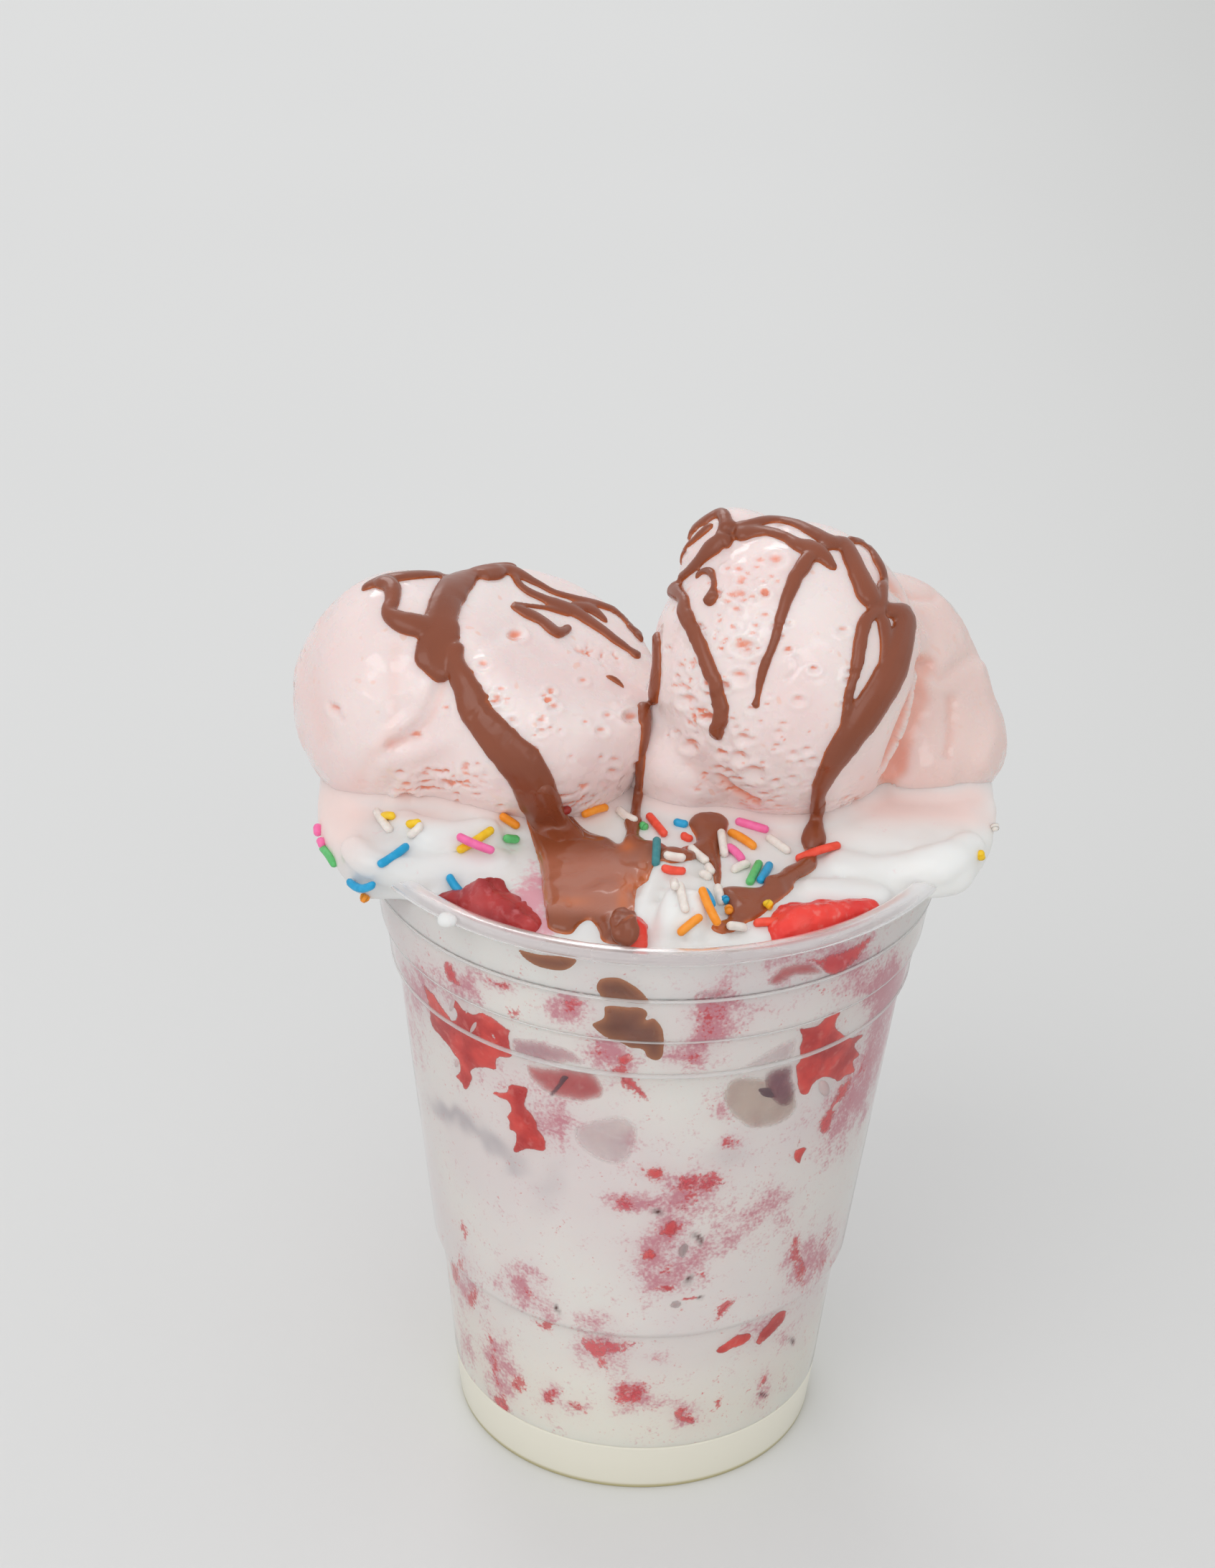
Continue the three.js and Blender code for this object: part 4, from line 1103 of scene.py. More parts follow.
# thin, see-through places of the pool
amberSpots = [
    ((-1.2, -11.6), (1.0, 2.6)), ((-12.6, -16.4), (2.4, 0.9)), ((-4.6, -16.6), (1.0, 3.6)),
    ((-4.4, -7.4), (1.4, 1.0)), ((-3.2, -13.4), (1.2, 1.4)), ((10.4, -19.7), (3.0, 0.8)),
]
creamStrands = [
    [(25.2, -5.6, 1.4), (24.9, -7.6, 1.0), (24.4, -9.4, 1.3), (21, -11.8, 1.3), (18.4, -13.6, 2.0)],
    [(-3.4, -3.2, 1.1), (-3.6, -5.4, 0.8), (-3.2, -7.6, 1.4), (0.7, -8.4, 1.5), (4.4, -8.6, 1.1),
     (7.4, -8, 0.9)],
]
poolOutlines = [
    [(-20.6, -1.2), (-20.6, -3.6), (-19.5, -7), (-18.1, -11.4), (-17.5, -15.6), (-16.8, -19.3),
     (-16.2, -21.2), (-12.9, -21.9), (-11.3, -20.3), (-9.8, -19.4), (-8.4, -21), (-7.4, -22.9),
     (-2.9, -22.8), (-2.6, -18.8), (-2.4, -14.2), (-0.6, -12.9), (0.1, -10.6), (1.9, -8.4), (-1, -6.4),
     (-4.3, -5.2), (-5.4, -7.1), (-7.3, -6.1), (-10.7, -5.1), (-14, -2), (-17, 0.5)],
    [(5.2, -3.4), (6.8, -1.6), (10, -1.4), (11.8, -2.8), (11.4, -5), (10.6, -7.4), (11, -10.6),
     (10.8, -13.4), (9.6, -12.6), (8.8, -9.4), (5.4, -8.6), (4, -7.4), (6.6, -6.2)],
    [(20.4, -11), (17, -13), (12.6, -13), (10.8, -13.8), (12.2, -16.6), (12.2, -18.8), (16, -18.6),
     (19.6, -15.8), (22.6, -12.8)],
    [(9.4, -19.6), (12, -18.2), (15.2, -18.6), (14, -20), (11, -20.9)],
]


# drops that fill the hollow between a scoop and the cream under it, so that the run has no step there
def filletDrops(rest, places):
    path = smoothPath(places, 0.6)
    line = np.array([dropped(rest, place)[0] for place in path])
    ways, faces = roundCorners(3)
    drops = []
    for i, (x, y, half) in enumerate(path):
        spot = line[max(i - 4, 0):i + 5].mean(0)
        for aside in (-0.5 * half, 0, 0.5 * half):
            drops.append(pieceFrom("drop", spot + (aside, 0, 0) + ways * 0.5 * half, faces))
    return drops


# runs the parts together, and notes how thick the chocolate is
def pouredPiece(name, rest, parts, size, smoothing, finish, *nodes):
    piece = joined(name, parts)
    remeshed(piece, size, smoothing)
    thick = np.array([rest["tree"].find_nearest(Vector(p))[3] for p in cornersOf(piece)])
    setField(piece, "thin", 1 - blend(0.05, 0.5, thick))
    finishPiece(piece, finish, "chocolate", *nodes)
    return piece


def chocolate(name, dry, wet, film, brown, thinBrown, pooled):
    material, tree, shader = newFinish(
        name, Coat_Weight=film, Coat_Roughness=0.08, Specular_IOR_Level=0.45, Subsurface_Weight=0.08,
        Subsurface_Scale=0.002, Subsurface_Radius=(1.0, 0.4, 0.2))
    darker = tuple(c * 0.86 for c in brown[:3]) + (1.0,)
    colour = clouded(tree, brown, darker, 70.0)
    if pooled:  # where it is wet and mirrors the sky it is paler
        mirror = fieldOf(tree, "mirror")
        colour = mixColour(tree, mirror, colour, paint(176, 105, 79))
        tree.links.new(mathNode(tree, "ADD", mirror, film, clamp=True), shader.inputs["Coat Weight"])
    patches = placeGroup(tree, blotches, Scale=330.0, Share=0.5, Soft=0.2, Detail=2.0)
    share = mathNode(tree, "MULTIPLY_ADD", patches.outputs["Mask"], 0.6, 0.4)
    colour = mixColour(tree, mathNode(tree, "MULTIPLY", share, fieldOf(tree, "thin")), colour, thinBrown)
    if pooled:
        amber = mathNode(tree, "MULTIPLY", fieldOf(tree, "amber"), 0.75, clamp=True)
        colour = mixColour(tree, amber, colour, thinBrown)
    tree.links.new(colour, shader.inputs["Base Color"])
    addSkin(tree, shader, dry, wet, 90.0, 1500.0, strength=0.08, distance=0.0003)
    return material


drizzleFinish = chocolate(
    "chocolateDrizzle", 0.36, 0.24, 0.2, paint(143, 73, 44), paint(192, 98, 42), False)
poolFinish = chocolate(
    "chocolatePool", 0.28, 0.16, 0.25, paint(147, 77, 47), paint(206, 108, 50), True)

onLeft, onRight, onCream = resting(scoopLeft), resting(scoopRight), resting(whippedCream)
between = resting(scoopLeft, scoopRight)
leftParts = strands(onLeft, leftStrands, 0)
leftParts += [strandPiece(onLeft, [(x - 1.6, y - 0.7, 1.0), (x, y, 0.5)]) for x, y in scallops]
leftParts += strands(onLeft, backLeftStrands, 20, -1)
pouredPiece("chocolateLeft", onLeft, leftParts, 0.3, 4, drizzleFinish, "scoop_left")
rightParts = strands(onRight, rightStrands, 40) + strands(between, hollowStrands, 60)
rightParts += strands(onRight, backRightStrands, 70, -1)
pouredPiece("chocolateRight", between, rightParts, 0.3, 4, drizzleFinish, "scoop_right")
poolParts = [sheetPiece(outline, onCream, 1.3, 1.0, 0.9) for outline in poolOutlines]
poolParts += strands(onCream, creamStrands, 80)
onHeap = resting(whippedCream, scoopLeft, scoopRight)
bridgeParts = strands(onHeap, bridges, 85, rise=1.6)
for places in bridges:
    bridgeParts += filletDrops(onHeap, places)
pouredPiece("chocolateBridges", onHeap, bridgeParts, 0.3, 4, drizzleFinish, "whipped_cream")
chocolatePool = pouredPiece("chocolatePool", onCream, poolParts, 0.34, 6, poolFinish, "whipped_cream")
poolPoints = cornersOf(chocolatePool)
deep = blend(0.4, 1.0, 1 - fieldValues(chocolatePool, "thin"))
ripples = 0.5 * layeredNoise(poolPoints, 4.2, 2, 31) * deep
moveCorners(chocolatePool, poolPoints + normalsOf(chocolatePool) * ripples[:, None])
poolSeen = inView(poolPoints)
poolAcross, poolUp = poolSeen.T
setField(chocolatePool, "amber", spotted(poolSeen, [(*spot, 1.0) for spot in amberSpots]))
mirror = blend(-7, -11, poolUp) * blend(-19.5, -17, poolUp) * blend(2, -1, poolAcross)
setField(chocolatePool, "mirror", mirror)
print("chocolate poured")


# Strawberries in cream, against the wall

filling = {
    "top": 104.0,
    "risenTop": 110.2,
    "risenThickness": 1.6,
    "sides": 420,
    "rows": 176,
}
# soft stains and mottled red, as seen: across, up, half sizes, tilt in degrees, strength
stainBlobs = [
    (-12.7, -33, 4, 3, 0, 0.8), (-7.1, -39.5, 4, 2.6, -20, 0.7), (-4.2, -42.4, 3, 3, -30, 0.7),
    (-23.4, -29.9, 3, 2, 0, 0.5), (10, -34, 3.2, 6.5, -20, 1.0), (6.5, -40.2, 4, 2, 0, 0.7),
    (13.7, -34.7, 3, 2, 0, 0.3), (17.6, -31.7, 3, 1.4, 0, 0.5), (-15.2, -51.7, 3.4, 3.6, 0, 0.9),
    (11.4, -48.9, 2, 2, 0, 0.5), (26, -23.5, 9, 3.6, 20, 0.7), (33, -27, 5, 5, 40, 0.7),
    (37, -35, 3, 9, -20, 0.8), (33.5, -45, 3, 6, -20, 0.7), (38.5, -27, 3, 5, -20, 0.6),
    (30, -52, 3, 5, -15, 0.5), (-36.6, -31, 3, 5, 10, 0.7), (-36.8, -40, 2, 7, 8, 0.4),
    (-29.5, -30.5, 3.5, 3.4, -40, 0.8), (-20, -45, 8, 5, 0, 0.35), (1.8, -59, 2.4, 1.6, 0, 0.6),
    (8.2, -61.5, 6, 3.4, 20, 0.9), (-0.8, -63.8, 5.4, 1.8, 0, 0.8), (13.9, -53.8, 2, 1.4, 0, 0.6),
    (20.5, -62.7, 4, 3, 20, 0.6), (4.6, -67.7, 3, 2.4, 20, 0.7), (1.5, -71.5, 3.6, 3.4, 0, 0.7),
    (8, -73, 7, 3.4, 25, 0.5), (14.5, -68, 6, 3, 25, 0.55), (4.2, -76.4, 3.4, 2, 20, 0.5),
    (25, -72, 3.4, 6, 8, 0.6), (29, -70, 2.6, 5, -20, 0.6), (-18.5, -77.6, 4, 3, -35, 0.8),
    (-14, -81.6, 3.4, 1.8, -30, 0.5), (-27, -77.5, 2, 4.5, 12, 0.7), (-26.6, -88, 2, 5, 8, 0.5),
    (-6, -82.5, 3.4, 2, 0, 0.6), (-5, -87.5, 4.4, 3.4, 0, 0.7), (-0.1, -94.4, 3.4, 2.2, 12, 1.0),
    (8.4, -97, 3.4, 2.4, -20, 0.7), (-21, -92, 2.4, 6.4, 12, 0.9), (-13.2, -95.1, 1.6, 2.4, 10, 0.7),
    (-9.2, -96.4, 2.2, 1.4, -20, 0.6), (20, -83.5, 5.4, 2.6, 35, 0.6), (20.6, -93, 1.6, 3.4, -10, 0.5),
    (3.9, -88.4, 2, 1.2, 0, 0.5), (24.7, -84.6, 2, 1, 0, 0.3), (21, -47, 8, 5, 0, 0.3),
    (-6, -53, 7, 5, 0, 0.25),
]
redBlobs = [
    (-12.4, -32.8, 1.5, 1.1, 0, 0.8), (-23.4, -29.9, 1.5, 0.7, -20, 0.9),
    (-20.9, -34.6, 1.0, 0.7, 0, 0.8), (-3.5, -43.4, 2.2, 1.1, -40, 0.9),
    (-1.6, -45.9, 1.8, 0.9, -35, 0.9), (-7.6, -40, 1.8, 0.8, -20, 0.5), (10, -33.5, 2.2, 4.6, -20, 0.55),
    (7.2, -40.6, 2, 0.9, 0, 0.7), (1.9, -59, 1.3, 1.0, 0, 0.9), (6.6, -60.5, 2, 1.2, 20, 0.6),
    (10.6, -60, 2.4, 1.2, 10, 0.8), (8, -62.8, 2.2, 0.8, 20, 0.7), (-3, -63.7, 1.7, 1.1, 0, 0.9),
    (13.9, -53.8, 1.3, 0.9, 0, 0.6), (4.6, -67.7, 1.5, 1.1, 20, 1.0), (1.5, -71.7, 1.3, 1.0, 0, 0.6),
    (4.6, -74.3, 0.7, 0.5, 0, 1.0), (10.3, -74.9, 0.7, 0.5, 0, 1.0), (4.7, -77.1, 1.2, 0.5, 20, 1.1),
    (8.4, -78.4, 1.0, 0.4, 0, 1.1), (14.2, -79.9, 1.9, 0.6, 45, 1.2), (-12.7, -68.4, 0.4, 0.3, 0, 1.2),
    (-27.5, -69.5, 0.5, 1.3, 10, 0.8), (25.4, -72, 0.8, 3.4, 5, 0.9), (29.8, -68.1, 0.6, 1.6, -25, 0.7),
    (29.2, -72, 0.8, 2, -20, 0.6), (-17.2, -78.2, 1.3, 0.9, -35, 0.6), (-14.4, -83.3, 2.4, 0.4, -12, 0.9),
    (-28.6, -76.5, 0.6, 2, 10, 1.0), (-25.8, -80, 0.7, 1.7, 8, 1.0), (3.9, -88.4, 1.1, 0.8, 0, 0.7),
    (-0.1, -94.4, 2.7, 1.7, 12, 0.85), (8.2, -96.2, 1.2, 0.7, -10, 1.0), (9.2, -97.8, 1.1, 0.8, 0, 0.9),
    (13.2, -94.9, 0.7, 0.6, 0, 0.8), (13.3, -91.2, 0.5, 0.7, -20, 0.8), (20.5, -91.2, 0.5, 0.9, -20, 0.8),
    (20.6, -93.1, 0.7, 0.5, 0, 0.7), (-18.3, -93.6, 1.0, 1.2, 20, 0.9), (-13.2, -95.1, 0.9, 1.3, 10, 1.0),
    (-9.2, -96.4, 1.3, 0.7, -25, 0.8), (-22, -90, 0.7, 3.4, 6, 0.7), (-20.4, -96.5, 0.8, 1.7, 10, 0.9),
    (-22.2, -86.3, 0.4, 0.9, 15, 0.8), (27.5, -29, 1.2, 0.8, 0, 0.5), (34, -41, 1.0, 3.4, -20, 0.5),
]
darkSpecks = [
    (9.1, -68.9, 0.8, 0.35, -30, 1.2), (8.1, -75.5, 0.7, 0.35, 35, 1.2), (9.5, -78.5, 0.5, 0.3, 0, 1.2),
    (-12.3, -81.6, 0.35, 0.5, 30, 1.2), (24.3, -84.2, 0.35, 0.35, 0, 1.2), (20.4, -93, 0.3, 0.3, 0, 1.2),
    (2.7, -65.4, 0.8, 0.3, 0, 1.2),
]
# painted shade: grey in the hollows behind the milk
shadeBlobs = [
    (-31.4, -50.4, 2.6, 1.2, -30, 0.9), (-27.6, -52.4, 3.0, 1.4, -30, 0.9),
    (-23.2, -55.6, 3.0, 1.3, -35, 0.9), (-19.6, -58.6, 2.0, 1.6, -30, 0.6),
    (-14.6, -62, 2.0, 4, -20, 0.35), (14, -55.6, 3.4, 1.8, 10, 0.3),
]
# the larger pieces that lie against the wall: outline as seen
redOutlines = {
    "sliceLeft": [(-36.8, -28.7), (-35.3, -30.3), (-33.8, -31.7), (-32.6, -33.4), (-31.4, -34.9),
        (-30.6, -35.8), (-30.4, -34.8), (-31.1, -33.6), (-30.9, -32.6), (-30.1, -32.7), (-29.4, -33.4),
        (-28.8, -34.1), (-27.4, -34.7), (-26.6, -34.3), (-25.3, -34.6), (-24, -35.3), (-23, -36.1),
        (-22, -36.7), (-21.4, -37.1), (-21.6, -38.1), (-21.4, -39.5), (-20.9, -40.7), (-21.1, -41.5),
        (-22.2, -41.7), (-23.3, -41.9), (-23.3, -43.5), (-23.7, -43.8), (-25.4, -43.5), (-26.8, -43.6),
        (-27.3, -44.1), (-27, -45.1), (-27.5, -46.5), (-28.1, -47.2), (-28.8, -46.9), (-29.3, -45.8),
        (-30.2, -44.9), (-29.6, -44.1), (-29.8, -42.7), (-30.6, -41.5), (-31.8, -39.9), (-33, -38.5),
        (-34, -37.4), (-34.5, -36), (-34.7, -34.3), (-35.2, -32.1), (-36.1, -30.1)],
    "tongueLeft": [(-24.4, -47.3), (-23.6, -46.7), (-22, -46.9), (-21.7, -45.8), (-20.5, -45.6),
        (-18.5, -46.1), (-18.4, -47.9), (-18.5, -49), (-17.4, -50.4), (-16.7, -51.5), (-16.2, -52.9),
        (-15.3, -54), (-14.9, -55.7), (-15.5, -56.5), (-16.9, -56.4), (-18.4, -56.3), (-20, -56.9),
        (-20.6, -55.9), (-20.2, -54.8), (-20.4, -53.6), (-21.3, -53.1), (-21.5, -51.7), (-22, -50.9),
        (-21.2, -49.7), (-21.8, -48.6), (-23.2, -48.1)],
    "sliceRight": [(23.9, -34.8), (25.3, -34.8), (27, -34.1), (28.4, -32.5), (30, -31.8), (30.7, -32.2),
        (29.9, -34.3), (30.5, -35.1), (32.2, -35.9), (33, -35.6), (35, -35.2), (33.1, -37.3), (34, -39),
        (32.9, -40.1), (33.3, -41.8), (31.6, -42.5), (30.5, -43.6), (29.6, -43.1), (28.2, -42.9),
        (26.8, -43.8), (26, -45.5), (24.6, -45.7), (24, -44.5), (23.7, -42.8), (23.5, -41.1),
        (24.1, -39.9), (23.9, -38.2), (24.3, -36.5)],
    "chipRight": [(23.6, -55.3), (24.1, -54.1), (26.3, -53.6), (25.6, -55.2), (25.1, -56.9),
        (24.1, -56.4)],
    "longLow": [(12.7, -87.1), (12.9, -86.1), (14.4, -85), (16.3, -83.7), (17.8, -83.4), (18.5, -84.4),
        (17.3, -85.6), (15.4, -86.5), (14, -87.3)],
    "longHigh": [(18.8, -85.3), (19.3, -83.8), (20.2, -82.3), (21.6, -80.5), (23.1, -79.5), (24, -79.9),
        (23.4, -81.7), (22.2, -83.2), (20.8, -84.8), (19.8, -85.8)],
}
softRedOutlines = {
    "chipLeft": [(-32.8, -26.9), (-31.7, -26.4), (-30.8, -27.4), (-30.2, -29), (-29.3, -30.4),
        (-30.1, -30.7), (-31.6, -30), (-32.5, -28.6)],
    "rimRight": [(23, -24.6), (26.3, -23.7), (29.7, -22.6), (32.5, -21.3), (35, -19.7), (34.8, -21.1),
        (33.7, -22.8), (32.3, -24.6), (29.8, -26.6), (27.8, -26.2), (26.1, -24.8), (24.4, -24.7)],
    "streakRight": [(33.2, -41.5), (32.5, -43.8), (31.6, -45.9), (30.3, -48.2), (29.4, -51.1),
        (28.3, -51.8), (27.4, -50.3), (28.7, -47.7), (29.7, -45.9), (30.7, -43.7)],
    "threadRight": [(24.7, -51.2), (25.1, -51.8), (24.9, -53.2), (24.4, -54.7), (24.1, -54.1),
        (24.4, -52.5)],
    "redMidA": [(2.9, -68.7), (3.6, -67.7), (4.3, -66.4), (6, -66.2), (6, -67.6), (6.3, -68.6),
        (4.4, -68.9)],
    "redMidB": [(0.3, -72.5), (1, -71.3), (1.9, -70.7), (3, -71.7), (2.8, -72.7), (1.5, -73)],
    "redMidC": [(3.6, -77.6), (4.2, -76.6), (5.7, -76.9), (5.7, -77.4), (4.5, -77.9)],
    "redMidD": [(4.3, -74.6), (4.8, -74), (5.7, -74.3), (5.1, -75.1), (4.6, -75.1)],
    "redMidE": [(6.9, -78.4), (7.9, -78.1), (8.9, -78.3), (8.2, -78.9)],
    "redMidF": [(9.5, -75), (10.2, -74.5), (11.3, -75), (10.3, -75.4)],
    "leftStreakA": [(-19, -93.3), (-18.5, -92.8), (-17.3, -94.2), (-17.6, -95), (-18.4, -94.5)],
    "leftStreakB": [(-14.3, -94.6), (-13.5, -94.1), (-12.4, -95.3), (-12.3, -96.5), (-13.1, -96.5),
        (-14, -95.6)],
    "leftStreakC": [(-10.7, -95.7), (-9.7, -95.4), (-8, -96.8), (-8.4, -97.3), (-9.6, -96.9)],
    "leftStreakD": [(-22.2, -95.9), (-21.4, -94.9), (-19.5, -96.8), (-19.5, -98), (-20.5, -98.3),
        (-21.5, -97.1)],
    "leftStreakE": [(-29.6, -73), (-28.9, -74), (-28, -76.9), (-27.8, -78.5), (-28.6, -77.4),
        (-29.3, -75.5)],
    "leftStreakF": [(-26.7, -77.8), (-25.7, -78.8), (-25, -80.2), (-25.1, -81.5), (-25.9, -80.5)],
    "rightStreakA": [(24.3, -68.3), (25.2, -67.8), (25.4, -69.8), (26.5, -72.7), (26.3, -74.9),
        (25.6, -76.7), (25.3, -74.2), (24.8, -71.3), (24.1, -69.8)],
    "midDot": [(-13.1, -68.3), (-12.6, -68.1), (-12.4, -68.6), (-12.7, -68.9)],
    "redCentreB": [(0.6, -58.5), (1.6, -58), (3.2, -58.3), (3.5, -59.5), (2.2, -60), (1, -59.5)],
    "redUpperB": [(-24.8, -30), (-23.1, -29.4), (-21.6, -30.1), (-22.5, -30.6), (-23.9, -30.5)],
    "redUpperC": [(-4.8, -40.8), (-2.8, -39.9), (-1.6, -40.7), (-2.9, -42.1), (-4.1, -42.3)],
    "redUpperD": [(-3.8, -43.9), (-2.7, -43.4), (-1.5, -44.4), (0.3, -46.3), (0.9, -47.7), (-0.2, -47.6),
        (-1.7, -46.1), (-3.2, -45.1)],
    "orangeLow": [(12.5, -80.9), (13.7, -79.6), (14.9, -78.5), (15.9, -78.2), (15.4, -79.3),
        (14.2, -80.6), (13, -81.4)],
    "hookLow": [(6.3, -96.5), (7.9, -95.7), (8.6, -96.1), (8.2, -96.9), (9.4, -97.1), (10.2, -98),
        (9.5, -98.7), (8.2, -98.4), (6.9, -97.7)],
    "dropLow": [(12.5, -94.7), (13.5, -94.2), (14.1, -94.7), (13.3, -95.4)],
    "streakLow": [(20.1, -92), (20.7, -90.4), (21.4, -90.2), (20.8, -91.7)],
}
grainyOutlines = {
    "redCentreA": [(-5.3, -64.4), (-3.9, -63.5), (-2.8, -62.6), (-1.6, -62.8), (-0.5, -63.9),
        (2.4, -63.5), (3.8, -64), (0.7, -64.8), (-2.1, -65.4), (-4.4, -65.2)],
    "redCentreC": [(5.1, -60.8), (5.6, -59.1), (8.4, -58.4), (11.8, -58), (13.2, -58.8), (13.3, -60.5),
        (10.8, -61.2), (7.4, -61.6)],
    "redCentreD": [(5.5, -64.5), (6.9, -63), (9.1, -62.4), (10, -63.2), (8.1, -64.4), (6.4, -65.3)],
    "redCentreE": [(12.2, -53.7), (13.6, -52.9), (15.5, -53.2), (15.5, -54.4), (13.9, -54.8),
        (12.8, -54.6)],
    "redUpperA": [(-13.9, -32.1), (-11.9, -31.4), (-9.6, -32.1), (-9.9, -33.2), (-12.1, -33.5),
        (-13.6, -33.2)],
    "wedgeLow": [(-8.9, -85), (-6.4, -85), (-2.9, -85.3), (1.4, -85.3), (0.1, -86.6), (-1.3, -88.1),
        (-3.3, -88.7), (-4, -89.2), (-3.6, -90.5), (-4.7, -90.7), (-6.2, -89.6), (-7.8, -87.9)],
    "pinkLow": [(-3.3, -94.7), (-2.6, -93.4), (-0.7, -93), (1.3, -92.5), (2.8, -92.9), (2.6, -94.2),
        (1.4, -95), (0.5, -96), (-1, -96.5), (-2.5, -95.9)],
}
veiledOutlines = {
    "sliceVeiled": [(-18.9, -42.5), (-16, -42.7), (-12.6, -42.6), (-9.8, -42.7), (-7.8, -43.5),
        (-6.3, -45.7), (-6.5, -47.4), (-7.9, -48), (-11.3, -48.3), (-14.7, -47.4), (-17, -46.1),
        (-18.5, -44.5)],
    "rimRightSoft": [(18.6, -28.2), (19.6, -26.5), (21.8, -24.8), (26.1, -24.7), (27.8, -26.2),
        (26.2, -26.8), (23.1, -27.2), (20.3, -28.7)],
}
pinkOutlines = {
    "sliceVeiledTop": [(-21.6, -38.4), (-19.1, -38), (-15.1, -38.7), (-11.6, -39.9), (-9.6, -41.3),
        (-9.2, -42.4), (-12.6, -42.4), (-16.6, -42.4), (-19.5, -42), (-21.2, -40.9)],
    "streakPinkTop": [(7.6, -29.7), (9.8, -29.3), (12.8, -29.2), (12.2, -30.9), (7.3, -31.1)],
}
paleOutlines = {
    "slicePale": [(-11.1, -52.1), (-8.9, -50.9), (-5.5, -49.9), (-2.1, -50.3), (-0.6, -52.3),
        (-1.1, -55.1), (-2.1, -57.4), (-5.2, -58.1), (-8.7, -56.6), (-10.7, -54.7)],
    "brownTop": [(23.7, -36.3), (21.7, -36.9), (19.5, -38.3), (16.8, -40.1), (14.3, -42), (16.8, -42.2),
        (19.7, -41.5), (23, -40.3), (23.9, -38.2)],
}
brownOutlines = {
    "sliceBrown": [(12.2, -46.6), (12.7, -44.4), (14, -43.2), (16.9, -42.8), (19.7, -42.9), (22, -43.4),
        (23.8, -45), (24.4, -47.3), (23.1, -49.6), (20, -51.1), (16.6, -51.3), (13.7, -49.4)],
}
violetOutlines = {
    "brownViolet": [(18.8, -42.1), (21.3, -40.9), (23.3, -40.5), (23.7, -42.8), (24.3, -45),
        (23.6, -47.3), (21.6, -48), (19.6, -46.6), (18.6, -44.7)],
}
darkOutlines = {
    "blotRight": [(17.5, -44.7), (18.6, -44.3), (20.9, -44.3), (20.6, -45.2), (22.1, -45.8),
        (20.4, -46.6), (18.7, -46.4), (17.8, -45.7)],
    "veiledBlot": [(-13.2, -43.7), (-11.6, -44.2), (-12.5, -45.4), (-13.6, -46.8), (-14.7, -47.7),
        (-15.2, -46.9), (-14.2, -45.4)],
}
seedOutlines = {
    "seedGreyTop": [(6.2, -71.5), (6.4, -70.3), (7.3, -69.6), (8.1, -70.2), (7.7, -71.7), (6.9, -72.4)],
    "seedGreyLow": [(5.1, -79.9), (5.7, -79), (7, -78.8), (7.4, -79.4), (6.8, -80.2), (5.7, -80.4)],
}
chocolateOutlines = {
    "chocolateRim": [(-21, -24.3), (-19, -24.7), (-16.2, -25), (-13.3, -25.1), (-11.5, -25.6),
        (-12.1, -26.7), (-13.8, -27.5), (-16.1, -27.4), (-18.4, -26.7), (-20.1, -25.6)],
    "chocolateUpper": [(-8.3, -29.6), (-7.5, -28.4), (-5.3, -28.1), (-3.5, -28.6), (-1.8, -29.6),
        (-0.3, -31), (0.3, -32.1), (-1.7, -32.2), (-4, -32.1), (-6.8, -31.8), (-8, -30.7)],
    "chocolateLower": [(-6.8, -32.7), (-3.9, -32.7), (-1.1, -32.7), (0.1, -33.6), (-0.3, -34.6),
        (0.9, -34.3), (1.8, -34.9), (2.6, -36.3), (2.9, -38.5), (2.6, -40.5), (1.5, -41.2), (0.1, -40.6),
        (-0.6, -39.5), (-2.5, -39.3), (-4.3, -38.5), (-6.6, -37.8), (-8.3, -36.4), (-8.7, -35.6),
        (-7, -34.6)],
}
# drops of milk on the red ones: across, up, half width, half height, tilt in degrees
milkDrops = [
    (-27.4, -36.9, 0.6, 1.3, -25), (-24.2, -38.2, 0.45, 1.0, 35), (-30.0, -41.2, 0.35, 0.45, 0),
    (-29.9, -42.8, 0.4, 0.8, 0), (-32.6, -37.2, 0.3, 0.55, 10), (-30.9, -33.6, 0.45, 1.1, -20),
    (-28.6, -34.6, 0.35, 0.5, 0), (31.2, -43.4, 0.35, 0.6, 30), (28.3, -44.4, 0.9, 1.4, 20),
    (30.2, -47.2, 0.5, 1.2, -35),
]


def blobField(seen, blobs):
    total = np.zeros(len(seen))
    for x, y, wide, high, tilt, strength in blobs:
        near = np.nonzero((np.abs(seen - (x, y)) < 3 * max(wide, high)).all(1))[0]
        c, s = math.cos(math.radians(tilt)), math.sin(math.radians(tilt))
        dx, dy = seen[near, 0] - x, seen[near, 1] - y
        total[near] += strength * np.exp(-((dx * c + dy * s) / wide) ** 2 - ((dy * c - dx * s) / high) ** 2)
    return total


def randomBlobs(count, sizes, seed):
    draws = np.random.default_rng(seed)
    return [(x, y, *draws.uniform(*sizes, 2), draws.uniform(-90, 90), draws.uniform(0.4, 1.0))
            for x, y in zip(draws.uniform(-38, 38, count), draws.uniform(-98, -24, count))]


